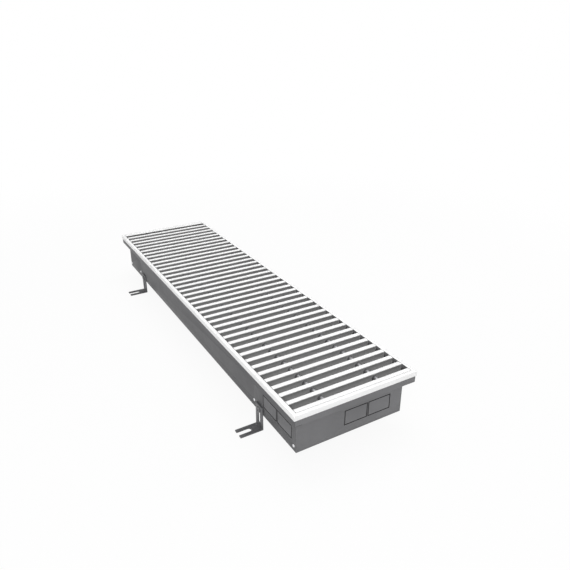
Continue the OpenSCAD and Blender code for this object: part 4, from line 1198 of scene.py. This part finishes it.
# %% Turn the screws
SCREW_HEAD = 0.9
SCREW = [(1.9, SCREW_HEAD), (2.9, 0.78), (3.4, 0.45), (3.5, 0.0), (1.45, 0.0), (1.45, -1.0)]
CROSS_LONG, CROSS_SHORT = 1.9, 0.4
CROSS_LOW, CROSS_HIGH = 0.3, 1.5
screw = turned(SCREW, ORIGIN, sides=32)
for x, y in ((CROSS_LONG, CROSS_SHORT), (CROSS_SHORT, CROSS_LONG)):
    cut(screw, boxed((-x, -y, CROSS_LOW), (x, y, CROSS_HIGH), 0))
set_in_place(screw, "Bridge_screws", "bridge_screws",
             lambda low, high, middle: (mm(middle.x, middle.y, high.z - SCREW_HEAD), "Z"))

# %% [markdown]
# ## Pipe sockets
# The two pipes end in hexagonal castings with an inner thread for the heating pipes. A casting
# is a six-sided bar with its corners turned off at both ends. The bore has a chamfer at its
# mouth and a thread, cut here as close ridges.

# %% Model a socket
SOCKET_LENGTH = 20.0
SOCKET_CORNER = 13.5
SOCKET_CHAMFER = 1.5
DISC_FLAT, DISC_FULL = 11.7, 13.7
MOUTH_RADIUS, MOUTH_DEPTH = 9.4, 1.2
BORE = 8.25
THREAD_START = 1.4
THREAD_DEPTH = 0.6
THREAD_PITCH = 1.8
THREAD_COUNT = 7
THREAD_END = 15.0
PIPE_BORE = 7.8
CAST_EDGE = 0.35
CAST_EDGE_FROM = math.radians(50)
chamfered = [(DISC_FLAT, 0), (DISC_FULL, SOCKET_CHAMFER),
             (DISC_FULL, SOCKET_LENGTH - SOCKET_CHAMFER), (DISC_FLAT, SOCKET_LENGTH)]
thread = [(MOUTH_RADIUS, -0.5), (MOUTH_RADIUS, 0.0), (BORE, MOUTH_DEPTH)]
for i in range(THREAD_COUNT):
    thread += [(BORE + THREAD_DEPTH, THREAD_START + THREAD_PITCH * (i + 0.4)),
               (BORE, THREAD_START + THREAD_PITCH * (i + 1))]
thread += [(BORE, THREAD_END), (PIPE_BORE, THREAD_END + 0.4), (PIPE_BORE, SOCKET_LENGTH + 0.5)]
for side in ("left", "right"):
    low, high = box_mm("pipe_socket_" + side)
    mouth = mm((low.x + high.x) / 2, low.y, (low.z + high.z) / 2)
    socket = turned([(SOCKET_CORNER, 0), (SOCKET_CORNER, SOCKET_LENGTH)], mouth, "Y", 6, twist=30)
    cut(socket, turned(chamfered, mouth, "Y", 64), "INTERSECT")
    cut(socket, turned(thread, mouth, "Y"))
    modify(socket, "BEVEL", width=CAST_EDGE * MM, segments=2, limit_method="ANGLE",
           angle_limit=CAST_EDGE_FROM, use_clamp_overlap=True)
    smooth(socket)
    stand_in(socket, "Socket_" + side, "pipe_socket_" + side)
    print("socket", side, size_mm(socket))

# %% [markdown]
# ## Motors and their rings
# Each fan ends in a motor. Its grey front is turned, with a hub and two fine grooves. A white
# moulded ring covers its edge, domed like half a doughnut. The near ones are modelled and the
# far ones are copies.

# %% Find the fans and copy a piece to both
ring_low, ring_high = box_mm("cap_ring_near")
fan_x, fan_z, fan_y = (ring_low.x + ring_high.x) / 2, (ring_low.z + ring_high.z) / 2, ring_low.y
fan_middle = mm(fan_x, fan_y, fan_z)
fan_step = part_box("cap_ring_far")[0].y / MM - fan_y


def for_both_fans(piece, name, node):
    """Hands over a piece of the near fan and a copy of it for the far fan."""
    far = twin(piece)
    far.location = mm(0, fan_step, 0)
    for one, end in ((piece, "near"), (far, "far")):
        stand_in(one, name + "_" + end, node + "_" + end)


print("fan axis at", round(fan_x, 2), round(fan_z, 2), "second fan further by", round(fan_step, 2))

# %% Turn the motors and the rings
MOTOR = [(1.0, 1.8), (1.5, 1.1), (3.9, 0.9), (4.5, 1.3), (4.5, 2.5), (4.9, 3.1), (6.0, 3.1), (6.4, 2.5),
         (12.4, 2.5), (12.8, 2.9), (13.5, 2.9), (13.9, 2.5), (17.2, 2.5), (17.9, 3.2), (17.9, 14.0),
         (20.4, 14.0), (21.0, 14.6), (21.0, 43.2), (20.2, 44.0), (2.55, 44.0), (2.55, 32.0)]
RING_OUTER, RING_INNER, RING_DEPTH = 28.5, 18.05, 12.0
DOME_STEPS = 12
dome = (RING_OUTER - RING_INNER) / 2
ring = [(RING_OUTER, RING_DEPTH)]
for i in range(DOME_STEPS + 1):
    angle = math.pi * i / DOME_STEPS
    ring.append((RING_INNER + dome + dome * math.cos(angle), dome - dome * math.sin(angle)))
ring.append((RING_INNER, RING_DEPTH))
motor = turned(MOTOR, fan_middle, "Y", 64)
smooth(motor)
for_both_fans(motor, "Motor", "fan_motor")
white_ring = turned(ring, fan_middle, "Y", 72, hollow=True)
smooth(white_ring, 50)
for_both_fans(white_ring, "Motor_ring", "cap_ring")
print("motor", size_mm(motor), "ring", size_mm(white_ring))

# %% [markdown]
# ## Front shells
# The curved front of a fan is a thin shell that guides the air round the drum. It has a
# raised lip at both ends, where it sits on the end plates, and a round bead along its upper
# edge that keeps it stiff. Its section along the fan is drawn once and carried round the axis.

# %% Sweep the shell
def swept(points, middle, axis, degrees, steps):
    """An outline that is carried round an axis."""
    piece = traced(points)
    bpy.ops.mesh.spin(steps=steps, angle=math.radians(degrees), center=middle, axis=axis)
    face_outwards()
    settle(piece)
    return piece


SHELL_START, SHELL_END = 14.0, 325.0
SHELL_IN, SHELL_OUT = 31.5, 33.5
SHELL_STEPS = 44
SHELL_BOTTOM = 270
EDGE_UP, EDGE_LEFT = 25.0, 23.0
LIP_OUT, LIP_WIDTH, LIP_STEP = 34.4, 4.0, 0.5
BEAD_RADIUS, BEAD_END, BEAD_ROUND = 1.6, 1.2, 0.4
upper = math.pi - math.atan2(EDGE_UP, EDGE_LEFT)


def shell_point(radius, along):
    return mm(fan_x + radius * math.cos(upper), fan_y + along, fan_z + radius * math.sin(upper))


lip_top, lip_foot = LIP_WIDTH, LIP_WIDTH + LIP_STEP
section = [(SHELL_IN, SHELL_START), (LIP_OUT, SHELL_START), (LIP_OUT, SHELL_START + lip_top),
           (SHELL_OUT, SHELL_START + lip_foot), (SHELL_OUT, SHELL_END - lip_foot),
           (LIP_OUT, SHELL_END - lip_top), (LIP_OUT, SHELL_END), (SHELL_IN, SHELL_END)]
shell = swept([shell_point(r, y) for r, y in section], fan_middle, (0, 1, 0),
              SHELL_BOTTOM - math.degrees(upper), SHELL_STEPS)
shell_length = SHELL_END - SHELL_START
bead_rings = [(BEAD_END, 0), (BEAD_RADIUS, BEAD_ROUND), (BEAD_RADIUS, shell_length - BEAD_ROUND),
              (BEAD_END, shell_length)]
bead = turned(bead_rings, shell_point((SHELL_IN + SHELL_OUT) / 2, SHELL_START), "Y", 24)
shell = joined([shell, bead])
smooth(shell, 40)
print("shell", size_mm(shell), "faces", len(shell.data.polygons))
for_both_fans(shell, "Front_shell", "fan_front_shell")

# %% [markdown]
# ## Drums
# The drum of a cross-flow fan is a cage of many narrow blades, bent like gutters, between
# discs on the shaft. One blade is drawn as a thin arc, pulled out to the drum's length and
# copied round the axis, and the discs are turned.

# %% Build the drums
BLADE_COUNT = 24
BLADE_DEPTH = 5.0
BLADE_HALF_SHEET = 0.4
BLADE_BOW = 0.7
BLADE_TURN = math.radians(28)
BLADE_STEPS = 6
DISC_COUNT = 4
DISC_THICK = 1.5
SHAFT_RADIUS = 2.55
drum_low, drum_high = box_mm("impeller_near")
drum_radius, drum_length = (drum_high.x - drum_low.x) / 2, drum_high.y - drum_low.y


def blade_point(along, side):
    """A corner of the blade's section: how far along the blade, and on which side of the sheet."""
    across = BLADE_BOW * (1 - (2 * along / BLADE_DEPTH) ** 2) - BLADE_BOW / 2 + side * BLADE_HALF_SHEET
    out = along * math.cos(BLADE_TURN) - across * math.sin(BLADE_TURN) + drum_radius - BLADE_DEPTH / 2
    up = along * math.sin(BLADE_TURN) + across * math.cos(BLADE_TURN)
    return mm(fan_x + out, drum_low.y, fan_z + up)


steps = [BLADE_DEPTH * (i / BLADE_STEPS - 0.5) for i in range(BLADE_STEPS + 1)]
there, back = [blade_point(a, 1) for a in steps], [blade_point(a, -1) for a in reversed(steps)]
blade = pulled(there + back, 0, mm(0, drum_length, 0))
blades = [blade]
for i in range(1, BLADE_COUNT):
    other = twin(blade)
    edit(other)
    bpy.ops.transform.rotate(value=2 * math.pi * i / BLADE_COUNT, orient_axis="Y",
                             center_override=mm(fan_x, 0, fan_z))
    fresh()
    blades.append(other)
disc = [(drum_radius, 0), (drum_radius, DISC_THICK), (SHAFT_RADIUS, DISC_THICK), (SHAFT_RADIUS, 0)]
discs = []
for i in range(DISC_COUNT):
    disc_y = drum_low.y + i * (drum_length - DISC_THICK) / (DISC_COUNT - 1)
    discs.append(turned(disc, mm(fan_x, disc_y, fan_z), "Y", 64, hollow=True))
drum = joined(blades + discs)
smooth(drum)
print("drum", size_mm(drum), "faces", len(drum.data.polygons))
for_both_fans(drum, "Drum", "impeller")

# %% [markdown]
# ## Lid of the control box
# The electronics sit in a moulded box with a shallow lid. Lid and base never close without a
# line, so the lid stops a little above the base and the rim inside it shows in the gap.

# %% Model the lid
LID_GAP = 0.45
LID_RADIUS = 1.1
RIM_INSET = 4.05
RIM_OVERLAP = 0.2
RIM_RADIUS = 0.3
lid_low, lid_high = box_mm("control_box_lid")
seam_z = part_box("control_box_base")[1].z / MM
lid = boxed((lid_low.x, lid_low.y, seam_z + LID_GAP), lid_high, LID_RADIUS)
rim_low = (lid_low.x + RIM_INSET, lid_low.y + RIM_INSET, lid_low.z)
rim_high = (lid_high.x - RIM_INSET, lid_high.y - RIM_INSET, seam_z + LID_GAP + RIM_OVERLAP)
lid = joined([lid, boxed(rim_low, rim_high, RIM_RADIUS, 1)])
stand_in(lid, "Control_lid", "control_box_lid")
print("lid from", round(seam_z + LID_GAP, 2), "to", round(lid_high.z, 2))

# %% [markdown]
# ## Floor and light
# A studio picture has a pale floor that runs out into a white backdrop. The floor keeps the
# heater's shadow. Towards its edge it fades to plain white, which only the camera and shiny
# surfaces see, so that no light is added to the object. One large lamp stands in front on the
# left, a weaker one fills from the right, and one hangs overhead.

# %% Floor
FLOOR_SIZE = 40.0
FADE_START = 0.55
FADE_END = 1.9
FLOOR_WHITE = 0.92
FLOOR_GREY = (238, 238, 238)

fresh()
bpy.ops.mesh.primitive_plane_add(size=FLOOR_SIZE, location=(0, 0, 0))
floor = bpy.context.object
floor.name = "Studio_floor"


def seen_directly(start):
    """1 for rays from the camera and those mirrored or bent by shiny things, else 0."""
    camera_ray, glossy_ray, bent_ray = [start.node("LightPath", out=name) for name in (
        "Is Camera Ray", "Is Glossy Ray", "Is Transmission Ray")]
    return (camera_ray + glossy_ray + bent_ray).step(0, 1)


def studio_floor():
    material = bpy.data.materials.new("Studio_floor")
    material.use_nodes = True
    tree = material.node_tree
    tree.nodes.remove(tree.nodes["Principled BSDF"])
    start = Wire(tree)
    place = start.node("TexCoord", out="Object")
    distance = start.node("VectorMath", {"operation": "LENGTH"}, {0: place}, out="Value")
    far = distance.step(FADE_START, FADE_END)
    matt = start.node("BsdfDiffuse", None, {"Color": shade(FLOOR_GREY)})
    white = start.node("Emission", None, {"Color": (1, 1, 1, 1), "Strength": 1.0})
    share = seen_directly(start) * (FLOOR_WHITE + far * (1 - FLOOR_WHITE))
    both = start.node("MixShader", None, {0: share, 1: matt, 2: white})
    tree.links.new(both.socket, tree.nodes["Material Output"].inputs["Surface"])
    return material


floor.data.materials.append(studio_floor())
print("floor fades to white between", FADE_START, "and", FADE_END, "m")

# %% World and lamps
WORLD_LIGHT = 0.34
LAMP_AIM = Vector((0, 0, 0.1))

world = bpy.data.worlds.new("Studio")
world.use_nodes = True
bpy.context.scene.world = world
sky = Wire(world.node_tree)
strength = seen_directly(sky) * (1 - WORLD_LIGHT) + WORLD_LIGHT
backdrop = world.node_tree.nodes["Background"]
backdrop.inputs["Color"].default_value = (1, 1, 1, 1)
world.node_tree.links.new(strength.socket, backdrop.inputs["Strength"])


def lamp(name, at, size, watts):
    """A square soft lamp that looks at the heater."""
    fresh()
    turn = (LAMP_AIM - Vector(at)).to_track_quat("-Z", "Y").to_euler()
    bpy.ops.object.light_add(type="AREA", location=at, rotation=turn)
    made = bpy.context.object
    made.name = name
    made.data.size = size
    made.data.energy = watts


lamp("Lamp_front_left", (-1.5, -2.3, 1.7), 1.6, 39)
lamp("Lamp_right", (2.4, -0.6, 1.5), 1.4, 10)
lamp("Lamp_above", (0.2, 0.3, 2.6), 2.2, 38)

# %% [markdown]
